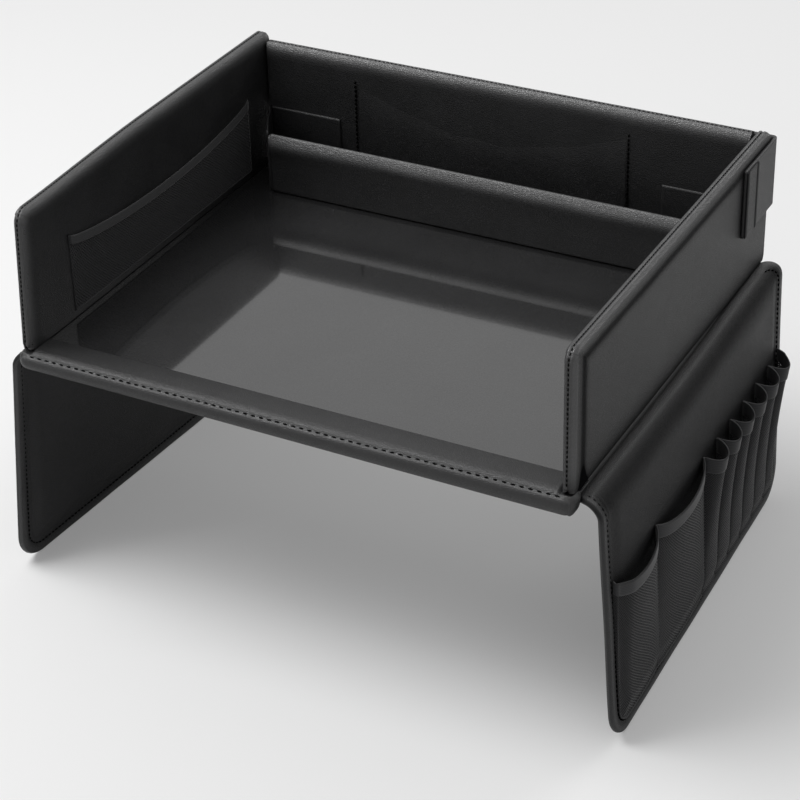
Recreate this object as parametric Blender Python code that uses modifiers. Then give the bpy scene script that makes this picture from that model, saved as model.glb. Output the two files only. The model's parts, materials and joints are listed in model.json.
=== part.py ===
"""Car seat tray table: a padded floor panel, three folding walls, a rear pocket and two wings.

Metres, +Z up, +X to the right and +Y to the back. The origin is the middle of the flat underside.
"""
import math

import bmesh
import bpy
from mathutils import Matrix, Vector

OBJECT_NAME = "car_seat_tray_table"

# Overall sizes
TRAY_WIDTH = 0.400
TRAY_DEPTH = 0.3275
WALL_RISE = 0.100
WALL_THICKNESS = 0.011
GAP = 0.0003

# Floor panel, from the underside up
UNDER_COVER = 0.0012
FLOOR_BOARD = 0.0035
FLOOR_FOAM = 0.004
FLOOR_SKIN = 0.0012
FILM_THICKNESS = 0.0006
FLOOR_EDGE_RADIUS = 0.003
FLOOR_CORNER = 0.006

# Front hem, a padded roll with a thin lip over the film's front edge
HEM_ROLL = 0.0122
HEM_LIP = 0.0085
HEM_LIP_THICKNESS = 0.0012
HEM_CORNER = 0.006
HEM_EDGE_RADIUS = 0.005

# Walls: two sewn covers round a board and a foam sheet, with a seam rib between the covers
WALL_SETBACK = 0.0025
WALL_SKIN = 0.0012
WALL_EDGE_RADIUS = 0.0038
WALL_SEAM = 0.0016
WALL_SEAM_PROUD = 0.0006
SEAM_BAND = 0.0045
WALL_FRONT_CORNER = 0.011
WALL_CORNER = 0.006
BACK_WALL_END_GAP = 0.0018

# Flat mesh pocket inside the left wall
MESH_SHEET = 0.0008
MESH_FRONT = 0.054
MESH_LENGTH = 0.232
MESH_END_HEIGHT = 0.063
MESH_SAG = 0.0135
MESH_BAND_HEIGHT = 0.0065

# Rear pocket: a padded front panel with two folded gussets
POCKET_DEPTH = 0.043
POCKET_HEIGHT = 0.0477
POCKET_END_INSET = 0.024
POCKET_PANEL = 0.007
POCKET_SKIN = 0.0012
POCKET_EDGE_RADIUS = 0.003
POCKET_BOARD = 0.0025
GUSSET_SHEET = 0.0012
GUSSET_FLANGE = 0.062
GUSSET_CORNER_INSET = 0.003

# Tablet pocket on the back wall, its top edge sagging between two seams
TABLET_MARGIN = 0.0152
TABLET_OFFSET = -0.006
TABLET_RISE = 0.080
TABLET_SAG = 0.025
TABLET_SHEET = 0.0012

# Corner tabs: sewn to a side wall, closed on the back wall with hook and loop tape
TAB_LENGTH = 0.055
TAB_HEIGHT = 0.050
TAB_BASE = 0.039
TAB_SHEET = 0.002
TAB_FLAP = 0.046
TAB_BEND_RADIUS = 0.0024
TAB_STRIP = 0.024
TAB_STRIP_THICKNESS = 0.0008
TAPE_THICKNESS = 0.001
TAPE_LENGTH = 0.032
TAPE_HEIGHT = 0.038

# Wings: flat bound panels hanging from soft folds along the panel's sides, leaning outwards
WING_DROP = 0.190
WING_LEAN = 3
WING_SETBACK = 0.0135
WING_THICKNESS = 0.007
WING_STANDOFF = 0.007
WING_REAR_REACH = 0.008
WING_TOP_DROP = 0.004
WING_SKIN = 0.001
WING_EDGE_RADIUS = 0.0018
WING_SEAM = 0.0012
WING_SEAM_PROUD = 0.0012
WING_BOTTOM_CORNER = 0.024
WING_REAR_CORNER = 0.028
WING_FRONT_CORNER = 0.005
FOLD_SHEET = 0.0015

# Pockets on the outside of the right wing
POCKET_START = 0.006
WIDE_POCKET_WIDTHS = (0.070, 0.085)
SLEEVE_COUNT = 6
SLEEVE_REAR_MARGIN = 0.008
POCKET_TOP_DROP = 0.057
POCKET_FOOT = 0.008
POCKET_SHEET = 0.001
POCKET_BULGE = 0.013
SLEEVE_BULGE = 0.011
POCKET_FOOT_BULGE = 0.004
RIM_DIP = 0.009
BAND_HEIGHT = 0.010
BAND_SHEET = 0.0016

# Webbing loops on the tray's rear edge, for the seat straps
LOOP_WIDTH = 0.025
LOOP_REACH = 0.013
LOOP_HEIGHT = 0.0105
LOOP_SHEET = 0.0014
LOOP_INSET = 0.050
LOOP_CORNER = 0.004

# Counts, in steps and faces along a curve
CORNER_STEPS = 4
BEND_STEPS = 6
SAG_STEPS = 12
BEVEL_STEPS = 3
WIDE_COLUMNS = 12
SLEEVE_COLUMNS = 8
NET_ROWS = 4
BAND_ROWS = 1

# How far a rounding may use up its wall, how long a mitre may run, and how the net's top edge sags
ROUND_LIMIT_SHARE = 0.9
TWO_ROUNDS_SHARE = 0.45
MITRE_SHARE = 0.3
MESH_SAG_POWER = 0.6
WELD_SHARE = 0.01
SMOOTH_ANGLE = 35

# Levels and places worked out from the sizes
BOARD_LOW = UNDER_COVER + GAP
FOAM_LOW = BOARD_LOW + FLOOR_BOARD + GAP
SKIN_LOW = FOAM_LOW + FLOOR_FOAM + GAP
FLOOR_TOP = SKIN_LOW + FLOOR_SKIN
FILM_LOW = FLOOR_TOP + GAP
FILM_TOP = FILM_LOW + FILM_THICKNESS
SIDE_BASE = FLOOR_TOP + GAP
REAR_BASE = FILM_TOP + GAP
WALL_TOP = FILM_TOP + WALL_RISE
HALF_WIDTH = TRAY_WIDTH / 2
HEM_FRONT = -TRAY_DEPTH / 2
WALL_FRONT = HEM_FRONT + WALL_SETBACK
WING_FRONT = HEM_FRONT + WING_SETBACK
REAR = TRAY_DEPTH / 2
CORE_FRONT = HEM_FRONT + HEM_ROLL + GAP
INNER_X = HALF_WIDTH - WALL_THICKNESS
INNER_REAR = REAR - WALL_THICKNESS
POCKET_FRONT = INNER_REAR - POCKET_DEPTH
WING_X = HALF_WIDTH + WING_STANDOFF + WING_THICKNESS / 2
WING_TOP = -WING_TOP_DROP
WING_BOTTOM = FILM_TOP - WING_DROP
WING_REAR = REAR + WING_REAR_REACH
WING_FACE_X = WING_X + WING_THICKNESS / 2
TAB_FLAP_FACE = REAR + 2 * TAPE_THICKNESS + 3 * GAP
TAB_X = HALF_WIDTH + GAP + TAB_SHEET / 2
TAB_HINGE_X = TAB_X + TAB_SHEET / 2
TAPE_OUTER_X = INNER_X - BACK_WALL_END_GAP - WALL_CORNER
GUSSET_CORNER_X = INNER_X - BACK_WALL_END_GAP - GUSSET_CORNER_INSET

# Hinge points of the moving bodies, by side where there are two
PIVOTS = {
    "tray": (0, 0, 0),
    "back_wall": (0, INNER_REAR, REAR_BASE),
    "pocket_front": (0, POCKET_FRONT, REAR_BASE),
}
SIDES = {"left": -1, "right": 1}
for side_name, side_sign in SIDES.items():
    PIVOTS[side_name + "_wall"] = (side_sign * HALF_WIDTH, 0, SIDE_BASE)
    PIVOTS[side_name + "_wing"] = (side_sign * WING_X, 0, WING_TOP)
    PIVOTS[side_name + "_tab"] = (side_sign * TAB_HINGE_X, REAR, 0)

# Colour, roughness and metallic value of each finish
FINISHES = {
    "leather": ((0.030, 0.030, 0.032), 0.45, 0.0),
    "lining": ((0.020, 0.020, 0.021), 0.75, 0.0),
    "film": ((0.055, 0.055, 0.057), 0.10, 0.0),
    "board": ((0.20, 0.18, 0.15), 0.60, 0.0),
    "foam": ((0.35, 0.35, 0.34), 0.95, 0.0),
    "net": ((0.024, 0.024, 0.026), 0.85, 0.0),
    "elastic": ((0.060, 0.060, 0.064), 0.80, 0.0),
    "tape": ((0.018, 0.018, 0.020), 0.95, 0.0),
    "webbing": ((0.028, 0.028, 0.030), 0.80, 0.0),
}


def clear_scene():
    """Remove every object of the open file."""
    for item in list(bpy.data.objects):
        bpy.data.objects.remove(item, do_unlink=True)


def new_collection(name):
    """A collection linked to the scene."""
    collection = bpy.data.collections.new(name)
    bpy.context.scene.collection.children.link(collection)
    return collection


def new_material(name, finish):
    """A Principled material in one of the finishes."""
    color, roughness, metallic = FINISHES[finish]
    material = bpy.data.materials.new(name)
    material.use_nodes = True
    shader = material.node_tree.nodes["Principled BSDF"]
    shader.inputs["Base Color"].default_value = (*color, 1)
    shader.inputs["Roughness"].default_value = roughness
    shader.inputs["Metallic"].default_value = metallic
    return material


def make_pivots(collection):
    """One empty for each body, on its joint's axis."""
    empties = {}
    for body, point in PIVOTS.items():
        empty = bpy.data.objects.new(body + "_axis", None)
        empty.location = point
        collection.objects.link(empty)
        empties[body] = empty
    return empties


def add_piece(name, mesh, body, finish):
    """Make a node from a mesh in world places, with its origin on its body's axis."""
    mesh.transform(Matrix.Translation(-Vector(PIVOTS[body])))
    mesh.materials.append(new_material(name, finish))
    mesh.shade_smooth()
    mesh.set_sharp_from_angle(angle=math.radians(SMOOTH_ANGLE))
    piece = bpy.data.objects.new(name, mesh)
    PARTS.objects.link(piece)
    piece.parent = AXES[body]
    return piece


def solidify(piece, thickness, offset):
    """Give an open sheet its thickness, inwards for an offset of -1."""
    modifier = piece.modifiers.new("thickness", "SOLIDIFY")
    modifier.thickness = thickness
    modifier.offset = offset
    modifier.use_even_offset = True


def rounded_outline(low, high, radii):
    """Rectangle from low to high, its corners rounded: low left, low right, high right, high left."""
    centres = (
        (low[0] + radii[0], low[1] + radii[0]),
        (high[0] - radii[1], low[1] + radii[1]),
        (high[0] - radii[2], high[1] - radii[2]),
        (low[0] + radii[3], high[1] - radii[3]),
    )
    points = []
    for corner, (x, y) in enumerate(centres):
        for step in range(CORNER_STEPS + 1):
            angle = math.pi + (corner + step / CORNER_STEPS) * math.pi / 2
            points.append((x + radii[corner] * math.cos(angle), y + radii[corner] * math.sin(angle)))
    return points


def inset_outline(low, high, radii, inset):
    """The rounded rectangle drawn in by inset on every side."""
    smaller = [max(radius - inset, GAP) for radius in radii]
    return rounded_outline(
        (low[0] + inset, low[1] + inset), (high[0] - inset, high[1] - inset), smaller
    )


def ribbon_outline(path, thickness):
    """Closed outline of a ribbon of even thickness along a path, the path being its middle."""
    left, right = [], []
    for index, point in enumerate(path):
        here = Vector(point)
        before = Vector(path[max(index - 1, 0)])
        after = Vector(path[min(index + 1, len(path) - 1)])
        first = (here - before).normalized() if index else (after - here).normalized()
        second = (after - here).normalized() if index < len(path) - 1 else first
        across = Vector((-(first + second).y, (first + second).x)).normalized()
        reach = thickness / 2 / max(across.dot(Vector((-first.y, first.x))), MITRE_SHARE)
        left.append(tuple(here + across * reach))
        right.append(tuple(here - across * reach))
    return left + right[::-1]


def arc(centre, radius, start, end, steps=BEND_STEPS):
    """Points of an arc, its angles in degrees."""
    angles = [math.radians(start + (end - start) * step / steps) for step in range(steps + 1)]
    return [(centre[0] + radius * math.cos(a), centre[1] + radius * math.sin(a)) for a in angles]


def weld(mesh):
    """Join a mesh's loose caps to its sides and face everything outwards."""
    build = bmesh.new()
    build.from_mesh(mesh)
    bmesh.ops.remove_doubles(build, verts=build.verts, dist=GAP * WELD_SHARE)
    bmesh.ops.recalc_face_normals(build, faces=build.faces)
    build.to_mesh(mesh)
    build.free()


def flat_mesh(outlines, low, high):
    """Flat piece between two heights: closed outlines, the first outside and the rest holes."""
    curve = bpy.data.curves.new("outline", "CURVE")
    curve.dimensions = "2D"
    curve.fill_mode = "BOTH"
    curve.extrude = (high - low) / 2
    for outline in outlines:
        spline = curve.splines.new("POLY")
        spline.points.add(len(outline) - 1)
        for point, (x, y) in zip(spline.points, outline):
            point.co = (x, y, 0, 1)
        spline.use_cyclic_u = True
    holder = bpy.data.objects.new("outline", curve)
    bpy.context.scene.collection.objects.link(holder)
    bpy.context.view_layer.update()
    ready = holder.evaluated_get(bpy.context.evaluated_depsgraph_get())
    mesh = bpy.data.meshes.new_from_object(ready)
    bpy.data.objects.remove(holder, do_unlink=True)
    weld(mesh)
    mesh.transform(Matrix.Translation((0, 0, (low + high) / 2)))
    return mesh


def shell_mesh(outline, lip, face, radius):
    """Open cover: a face at one height, its rim rounded over, and sides down to the lip."""
    build = bmesh.new()
    points = [build.verts.new((x, y, lip)) for x, y in outline]
    base = build.faces.new(points)
    grown = bmesh.ops.extrude_face_region(build, geom=[base])["geom"]
    top = [item for item in grown if isinstance(item, bmesh.types.BMVert)]
    bmesh.ops.translate(build, verts=top, vec=(0, 0, face - lip))
    bmesh.ops.delete(build, geom=[base], context="FACES_ONLY")
    middle = (lip + face) / 2
    rim = [
        edge
        for edge in build.edges
        if (edge.verts[0].co.z - middle) * (face - lip) > 0
        and (edge.verts[1].co.z - middle) * (face - lip) > 0
    ]
    bmesh.ops.bevel(
        build,
        geom=rim,
        offset=radius,
        offset_type="OFFSET",
        segments=BEVEL_STEPS,
        profile=0.5,
        affect="EDGES",
        clamp_overlap=True,
        material=-1,
    )
    bmesh.ops.recalc_face_normals(build, faces=build.faces)
    centre = sum((vert.co for vert in build.verts), Vector()) / len(build.verts)
    largest = max(build.faces, key=lambda item: item.calc_area())
    if (largest.calc_center_median() - centre).dot(largest.normal) < 0:
        bmesh.ops.reverse_faces(build, faces=build.faces)
    mesh = bpy.data.meshes.new("shell")
    build.to_mesh(mesh)
    build.free()
    return mesh


def basis(along, up, outward, point=(0, 0, 0)):
    """Matrix that turns local X, Y and Z to three world directions and moves them to a point."""
    turn = Matrix((along, up, outward)).transposed().to_4x4()
    return Matrix.Translation(point) @ turn


def add_flat(name, body, finish, outlines, low, high, place=None):
    """A flat node from outlines, turned to its place."""
    mesh = flat_mesh(outlines, low, high)
    mesh.transform(place or Matrix.Identity(4))
    return add_piece(name, mesh, body, finish)


def add_cover(name, body, finish, outline, lip, face, radius, skin, place=None):
    """A hollow cover node, open at its lip."""
    mesh = shell_mesh(outline, lip, face, radius)
    mesh.transform(place or Matrix.Identity(4))
    piece = add_piece(name, mesh, body, finish)
    solidify(piece, skin, -1)
    return piece


def add_panel(prefix, body, place, low, high, radii, sizes):
    """A sewn panel: two covers meeting at a seam rib, round a board and, where it has one, foam."""
    thickness, skin, radius, seam, proud, padded = sizes
    face = thickness / 2
    lip = seam / 2 + GAP
    bend = min(radius, ROUND_LIMIT_SHARE * (face - lip))
    cover = inset_outline(low, high, radii, proud)
    add_cover(prefix + "_outer_cover", body, "leather", cover, lip, face, bend, skin, place)
    add_cover(prefix + "_inner_cover", body, "leather", cover, -lip, -face, bend, skin, place)
    band = max(SEAM_BAND, proud + skin + GAP)
    rib = [inset_outline(low, high, radii, 0), inset_outline(low, high, radii, band)]
    add_flat(prefix + "_seam", body, "leather", rib, -seam / 2, seam / 2, place)
    inside = inset_outline(low, high, radii, max(band, proud + bend) + GAP)
    room = face - skin - GAP
    board_low = GAP / 2 if padded else -room
    add_flat(prefix + "_board", body, "board", [inside], board_low, room, place)
    if padded:
        add_flat(prefix + "_foam", body, "foam", [inside], -room, -GAP / 2, place)


def add_floor():
    """The floor panel's layers, its clear film and the rolled front hem."""
    low, high = (-HALF_WIDTH, CORE_FRONT), (HALF_WIDTH, REAR)
    radii = [FLOOR_CORNER] * 4
    whole = rounded_outline(low, high, radii)
    add_flat("floor_under_cover", "tray", "lining", [whole], 0, UNDER_COVER)
    bend = min(FLOOR_EDGE_RADIUS, ROUND_LIMIT_SHARE * FLOOR_CORNER)
    inside = inset_outline(low, high, radii, max(FLOOR_SKIN, bend) + GAP)
    add_flat("floor_board", "tray", "board", [inside], BOARD_LOW, BOARD_LOW + FLOOR_BOARD)
    add_flat("floor_foam", "tray", "foam", [inside], FOAM_LOW, FOAM_LOW + FLOOR_FOAM)
    add_cover("floor_top_cover", "tray", "leather", whole, BOARD_LOW, FLOOR_TOP, bend, FLOOR_SKIN)
    film_low = (-INNER_X + GAP, HEM_FRONT + HEM_ROLL + HEM_LIP + GAP)
    film_high = (INNER_X - GAP, REAR - bend)
    film = rounded_outline(film_low, film_high, [FILM_THICKNESS] * 4)
    add_flat("floor_film", "tray", "film", [film], FILM_LOW, FILM_TOP)
    add_hem()


def add_cutting_mesh(name, mesh):
    """An object that only cuts."""
    cutter = bpy.data.objects.new(name, mesh)
    CUTTERS.objects.link(cutter)
    cutter.hide_render = True
    cutter.display_type = "WIRE"
    return cutter


def add_cutter(name, low, high):
    """A box that cuts, from its low corner to its high corner."""
    build = bmesh.new()
    bmesh.ops.create_cube(build, size=1)
    size = [b - a for a, b in zip(low, high)]
    middle = [(a + b) / 2 for a, b in zip(low, high)]
    bmesh.ops.scale(build, verts=build.verts, vec=size)
    bmesh.ops.translate(build, verts=build.verts, vec=middle)
    mesh = bpy.data.meshes.new(name)
    build.to_mesh(mesh)
    build.free()
    return add_cutting_mesh(name, mesh)


def cut(piece, cutter):
    """Cut a box out of a piece."""
    modifier = piece.modifiers.new(cutter.name, "BOOLEAN")
    modifier.operation = "DIFFERENCE"
    modifier.solver = "EXACT"
    modifier.object = cutter


def hem_section():
    """The hem's section across the tray: a rounded roll with a thin lip behind its top."""
    top = FILM_LOW + HEM_LIP_THICKNESS
    bend = min(HEM_EDGE_RADIUS, TWO_ROUNDS_SHARE * top)
    roll_back = HEM_FRONT + HEM_ROLL
    lip_back = roll_back + HEM_LIP
    low = arc((HEM_FRONT + bend, bend), bend, 270, 180, CORNER_STEPS)
    high = arc((HEM_FRONT + bend, top - bend), bend, 180, 90, CORNER_STEPS)
    back = [(lip_back, top), (lip_back, FILM_LOW), (roll_back, FILM_LOW), (roll_back, 0)]
    return low + high + back


def add_hem():
    """The front hem, its corners rounded and its lip cut back where the side walls stand."""
    place = basis((0, 1, 0), (0, 0, 1), (1, 0, 0))
    mesh = flat_mesh([hem_section()], -HALF_WIDTH, HALF_WIDTH)
    mesh.transform(place)
    hem = add_piece("front_hem", mesh, "tray", "leather")
    over = HEM_ROLL
    top = FILM_LOW + HEM_LIP_THICKNESS + over
    foot = HEM_FRONT + HEM_ROLL
    lip_back = foot + HEM_LIP + over
    seat = WALL_FRONT - GAP
    for side, sign in SIDES.items():
        ends = sorted((sign * (INNER_X - GAP), sign * (HALF_WIDTH + over)))
        cut(hem, add_cutter(side + "_wall_foot", (ends[0], foot, -over), (ends[1], lip_back, top)))
        cut(hem, add_cutter(side + "_wall_seat", (ends[0], seat, FLOOR_TOP), (ends[1], lip_back, top)))
        cut(hem, add_corner_cutter(side + "_hem_corner", sign, over, top))


def add_corner_cutter(name, sign, over, top):
    """What is cut off one end of the hem to round its front corner in plan."""
    radius = min(HEM_CORNER, ROUND_LIMIT_SHARE * HEM_ROLL)
    centre = (HALF_WIDTH - radius, HEM_FRONT + radius)
    outline = [(HALF_WIDTH + over, HEM_FRONT - over), (HALF_WIDTH + over, centre[1])]
    outline += arc(centre, radius, 0, -90) + [(centre[0], HEM_FRONT - over)]
    mesh = flat_mesh([outline], -over, top)
    if sign < 0:
        mesh.transform(Matrix.Rotation(math.pi, 4, "Y"))
        mesh.transform(Matrix.Translation((0, 0, top - over)))
    return add_cutting_mesh(name, mesh)


def add_side_walls():
    """The left and right walls, each a sewn panel standing on the floor panel's edge."""
    sizes = (WALL_THICKNESS, WALL_SKIN, WALL_EDGE_RADIUS, WALL_SEAM, WALL_SEAM_PROUD, True)
    for side, sign in SIDES.items():
        middle = sign * (HALF_WIDTH - WALL_THICKNESS / 2)
        place = basis((0, sign, 0), (0, 0, 1), (sign, 0, 0), (middle, 0, 0))
        span = sorted((sign * WALL_FRONT, sign * REAR))
        corners = [WALL_CORNER] * 4
        corners[3 if sign > 0 else 2] = WALL_FRONT_CORNER
        name = side + "_wall"
        add_panel(name, name, place, (span[0], SIDE_BASE), (span[1], WALL_TOP), corners, sizes)


def add_back_wall():
    """The back wall, a sewn panel standing between the side walls."""
    sizes = (WALL_THICKNESS, WALL_SKIN, WALL_EDGE_RADIUS, WALL_SEAM, WALL_SEAM_PROUD, True)
    place = basis((-1, 0, 0), (0, 0, 1), (0, 1, 0), (0, REAR - WALL_THICKNESS / 2, 0))
    half = INNER_X - BACK_WALL_END_GAP
    corners = [WALL_CORNER] * 4
    add_panel("back_wall", "back_wall", place, (-half, REAR_BASE), (half, WALL_TOP), corners, sizes)
    add_tablet_pocket()
    for side, sign in SIDES.items():
        add_loop_tape(side, sign)


def add_tablet_pocket():
    """The tablet pocket: a sheet sewn to the back wall, its top edge sagging in the middle."""
    edge = GUSSET_CORNER_X - GUSSET_FLANGE - TABLET_MARGIN
    foot = REAR_BASE + WALL_CORNER
    rise = REAR_BASE + TABLET_RISE
    left, right = TABLET_OFFSET - edge, TABLET_OFFSET + edge
    outline = [(left, foot), (right, foot)]
    for step in range(SAG_STEPS + 1):
        share = step / SAG_STEPS
        sag = TABLET_SAG * math.sin(math.pi * share)
        outline.append((right + (left - right) * share, rise - sag))
    place = basis((1, 0, 0), (0, 0, 1), (0, -1, 0), (0, INNER_REAR - GAP, 0))
    add_flat("tablet_pocket", "back_wall", "leather", [outline], 0, TABLET_SHEET, place)


def add_loop_tape(side, sign):
    """A loop tape on the back of the back wall, under one corner tab."""
    low = SIDE_BASE + TAB_BASE + (TAB_HEIGHT - TAPE_HEIGHT) / 2
    span = sorted((sign * TAPE_OUTER_X, sign * (TAPE_OUTER_X - TAPE_LENGTH)))
    tape = rounded_outline((span[0], low), (span[1], low + TAPE_HEIGHT), [TAPE_THICKNESS] * 4)
    place = basis((1, 0, 0), (0, 0, 1), (0, -1, 0), (0, REAR + GAP, 0))
    add_flat(side + "_loop_tape", "back_wall", "tape", [tape], -TAPE_THICKNESS, 0, place)


def add_ribbon(name, body, finish, path, thickness, span, sign):
    """A ribbon that follows a path in plan, between two heights, mirrored for the left side."""
    place = basis((sign, 0, 0), (0, 1, 0), (0, 0, sign))
    low, high = sorted((sign * span[0], sign * span[1]))
    add_flat(name, body, finish, [ribbon_outline(path, thickness)], low, high, place)


def add_tabs():
    """Corner tabs: a leather side piece and strip on each side wall, and a flap with hook tape."""
    low = SIDE_BASE + TAB_BASE
    span = (low, low + TAB_HEIGHT)
    start = REAR - TAB_LENGTH
    strip_x = TAB_HINGE_X + GAP + TAB_STRIP_THICKNESS / 2
    flap_middle = TAB_FLAP_FACE + TAB_SHEET / 2
    bend = min(TAB_BEND_RADIUS, ROUND_LIMIT_SHARE * (flap_middle - REAR - GAP))
    corner = (TAB_X - bend, flap_middle - bend)
    skin = [(TAB_X, start), (TAB_X, REAR - GAP / 2)]
    strip = [(strip_x, start), (strip_x, start + TAB_STRIP)]
    flap = [(TAB_X, REAR + GAP / 2)] + arc(corner, bend, 0, 90)
    flap.append((HALF_WIDTH - TAB_FLAP, flap_middle))
    tape_low = low + (TAB_HEIGHT - TAPE_HEIGHT) / 2
    tape_span = (tape_low, tape_low + TAPE_HEIGHT)
    tape_middle = REAR + TAPE_THICKNESS + 2 * GAP + TAPE_THICKNESS / 2
    tape_reach = min(TAPE_LENGTH, TAPE_OUTER_X - HALF_WIDTH + TAB_FLAP)
    tape = [(TAPE_OUTER_X, tape_middle), (TAPE_OUTER_X - tape_reach, tape_middle)]
    for side, sign in SIDES.items():
        wall, tab = side + "_wall", side + "_tab"
        add_ribbon(side + "_tab_side", wall, "leather", skin, TAB_SHEET, span, sign)
        add_ribbon(side + "_tab_strip", wall, "elastic", strip, TAB_STRIP_THICKNESS, span, sign)
        add_ribbon(side + "_tab_flap", tab, "leather", flap, TAB_SHEET, span, sign)
        add_ribbon(side + "_hook_tape", tab, "tape", tape, TAPE_THICKNESS, tape_span, sign)


def add_mesh_pocket():
    """Flat net pocket inside the left wall, with a sagging elastic band along its top."""
    face = -(WALL_THICKNESS / 2 + GAP)
    place = basis((0, -1, 0), (0, 0, 1), (-1, 0, 0), (-(HALF_WIDTH - WALL_THICKNESS / 2), 0, 0))
    start = -(WALL_FRONT + MESH_FRONT)
    foot = SIDE_BASE + WALL_CORNER
    top = []
    for step in range(SAG_STEPS + 1):
        share = step / SAG_STEPS
        height = FILM_TOP + MESH_END_HEIGHT - MESH_SAG * math.sin(math.pi * share) ** MESH_SAG_POWER
        top.append((start - MESH_LENGTH * share, height))
    lower = [(x, z - MESH_BAND_HEIGHT) for x, z in top]
    net = [(start - MESH_LENGTH, foot), (start, foot)] + [(x, z - GAP) for x, z in lower]
    add_flat("left_mesh_pocket", "left_wall", "net", [net], face - MESH_SHEET, face, place)
    band = top + lower[::-1]
    add_flat("left_pocket_band", "left_wall", "elastic", [band], face - MESH_SHEET, face, place)


def add_rear_pocket():
    """The rear pocket's padded front panel with its stiffener, and the two gussets behind it."""
    half = INNER_X - POCKET_END_INSET
    top = FILM_TOP + POCKET_HEIGHT
    bend = min(POCKET_EDGE_RADIUS, TWO_ROUNDS_SHARE * POCKET_PANEL)
    back = POCKET_FRONT + POCKET_PANEL
    outline = rounded_outline((-half, POCKET_FRONT), (half, back), [bend + GAP] * 4)
    sheet = POCKET_SKIN
    add_cover("pocket_front_cover", "pocket_front", "leather", outline, REAR_BASE, top, bend, sheet)
    middle = POCKET_FRONT + POCKET_PANEL / 2
    inset = bend + POCKET_SKIN + GAP
    board_low = (-half + inset, middle - POCKET_BOARD / 2)
    board_high = (half - inset, middle + POCKET_BOARD / 2)
    board = rounded_outline(board_low, board_high, [GAP] * 4)
    add_flat("pocket_front_board", "pocket_front", "board", [board], REAR_BASE, top - inset)
    flange = INNER_REAR - GAP - GUSSET_SHEET / 2
    corner = (GUSSET_CORNER_X, flange)
    start = (half + GAP + GUSSET_SHEET / 2, middle)
    path = [start, corner, (corner[0] - GUSSET_FLANGE, flange)]
    for side, sign in SIDES.items():
        name = side + "_gusset"
        add_ribbon(name, "pocket_front", "leather", path, GUSSET_SHEET, (REAR_BASE, top), sign)


def wing_lean(sign):
    """Matrix that leans a wing outwards about its fold."""
    axis = Matrix.Translation((sign * WING_X, 0, WING_TOP))
    return axis @ Matrix.Rotation(-sign * math.radians(WING_LEAN), 4, "Y") @ axis.inverted()


def add_wings():
    """The hanging wings, each a bound panel round a stiffener."""
    sizes = (WING_THICKNESS, WING_SKIN, WING_EDGE_RADIUS, WING_SEAM, WING_SEAM_PROUD, False)
    for side, sign in SIDES.items():
        upright = basis((0, sign, 0), (0, 0, 1), (sign, 0, 0), (sign * WING_X, 0, 0))
        place = wing_lean(sign) @ upright
        span = sorted((sign * WING_FRONT, sign * WING_REAR))
        upper = (WING_REAR_CORNER, WING_FRONT_CORNER)[::sign]
        corners = [WING_BOTTOM_CORNER, WING_BOTTOM_CORNER, *upper]
        name = side + "_wing"
        top = WING_TOP - GAP
        add_panel(name, name, place, (span[0], WING_BOTTOM), (span[1], top), corners, sizes)
        add_wing_fold(side, sign)


def add_wing_fold(side, sign):
    """The soft fold from the floor panel's edge to one wing's seam, a quarter round and a drop."""
    radius = WING_X - HALF_WIDTH - GAP
    rise = min(radius, FLOOR_TOP - FOLD_SHEET / 2)
    path = []
    for step in range(BEND_STEPS + 1):
        angle = math.pi / 2 * (1 - step / BEND_STEPS)
        path.append((HALF_WIDTH + GAP + radius * math.cos(angle), rise * math.sin(angle)))
    path.append((path[-1][0], WING_TOP))
    upright = basis((sign, 0, 0), (0, 0, 1), (0, -sign, 0))
    ends = sorted((-sign * WING_FRONT, -sign * (REAR - FLOOR_CORNER)))
    name = side + "_wing_fold"
    add_flat(name, "tray", "leather", [ribbon_outline(path, FOLD_SHEET)], *ends, upright)


def bulged_mesh(span, heights, bulges, dips, sheet, cells):
    """Half-round sheet on the right wing's face; bulges and dips are given at its foot and its top."""
    build = bmesh.new()
    bmesh.ops.create_grid(build, x_segments=cells[0], y_segments=cells[1], size=0.5)
    middle = (span[0] + span[1]) / 2
    half = (span[1] - span[0]) / 2 - sheet - GAP / 2
    for vert in build.verts:
        across = vert.co.x + 0.5
        up = vert.co.y + 0.5
        bulge = bulges[0] + (bulges[1] - bulges[0]) * up
        dip = (dips[0] + (dips[1] - dips[0]) * up) * math.sin(math.pi * across)
        vert.co = (
            WING_FACE_X + GAP + bulge * math.sin(math.pi * across),
            middle - half * math.cos(math.pi * across),
            heights[0] + (heights[1] - heights[0]) * up - dip,
        )
    bmesh.ops.recalc_face_normals(build, faces=build.faces)
    if sum(face.normal.x * face.calc_area() for face in build.faces) < 0:
        bmesh.ops.reverse_faces(build, faces=build.faces)
    build.transform(wing_lean(1))
    mesh = bpy.data.meshes.new("sheet")
    build.to_mesh(mesh)
    build.free()
    return mesh


def add_wide_pocket(name, span, low, high):
    """A bulging net pocket on the right wing, with an elastic band along its top."""
    rim = high - BAND_HEIGHT
    rim_bulge = POCKET_FOOT_BULGE + (POCKET_BULGE - POCKET_FOOT_BULGE) * (rim - low) / (high - low)
    sheet = max(POCKET_SHEET, BAND_SHEET)
    bulges = (POCKET_FOOT_BULGE, rim_bulge)
    cells = (WIDE_COLUMNS, NET_ROWS)
    net = bulged_mesh(span, (low, rim - GAP), bulges, (0, RIM_DIP), sheet, cells)
    solidify(add_piece(name + "_net_pocket", net, "right_wing", "net"), POCKET_SHEET, 1)
    bulges = (rim_bulge, POCKET_BULGE)
    cells = (WIDE_COLUMNS, BAND_ROWS)
    band = bulged_mesh(span, (rim, high), bulges, (RIM_DIP, RIM_DIP), sheet, cells)
    solidify(add_piece(name + "_pocket_band", band, "right_wing", "elastic"), BAND_SHEET, 1)


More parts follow.
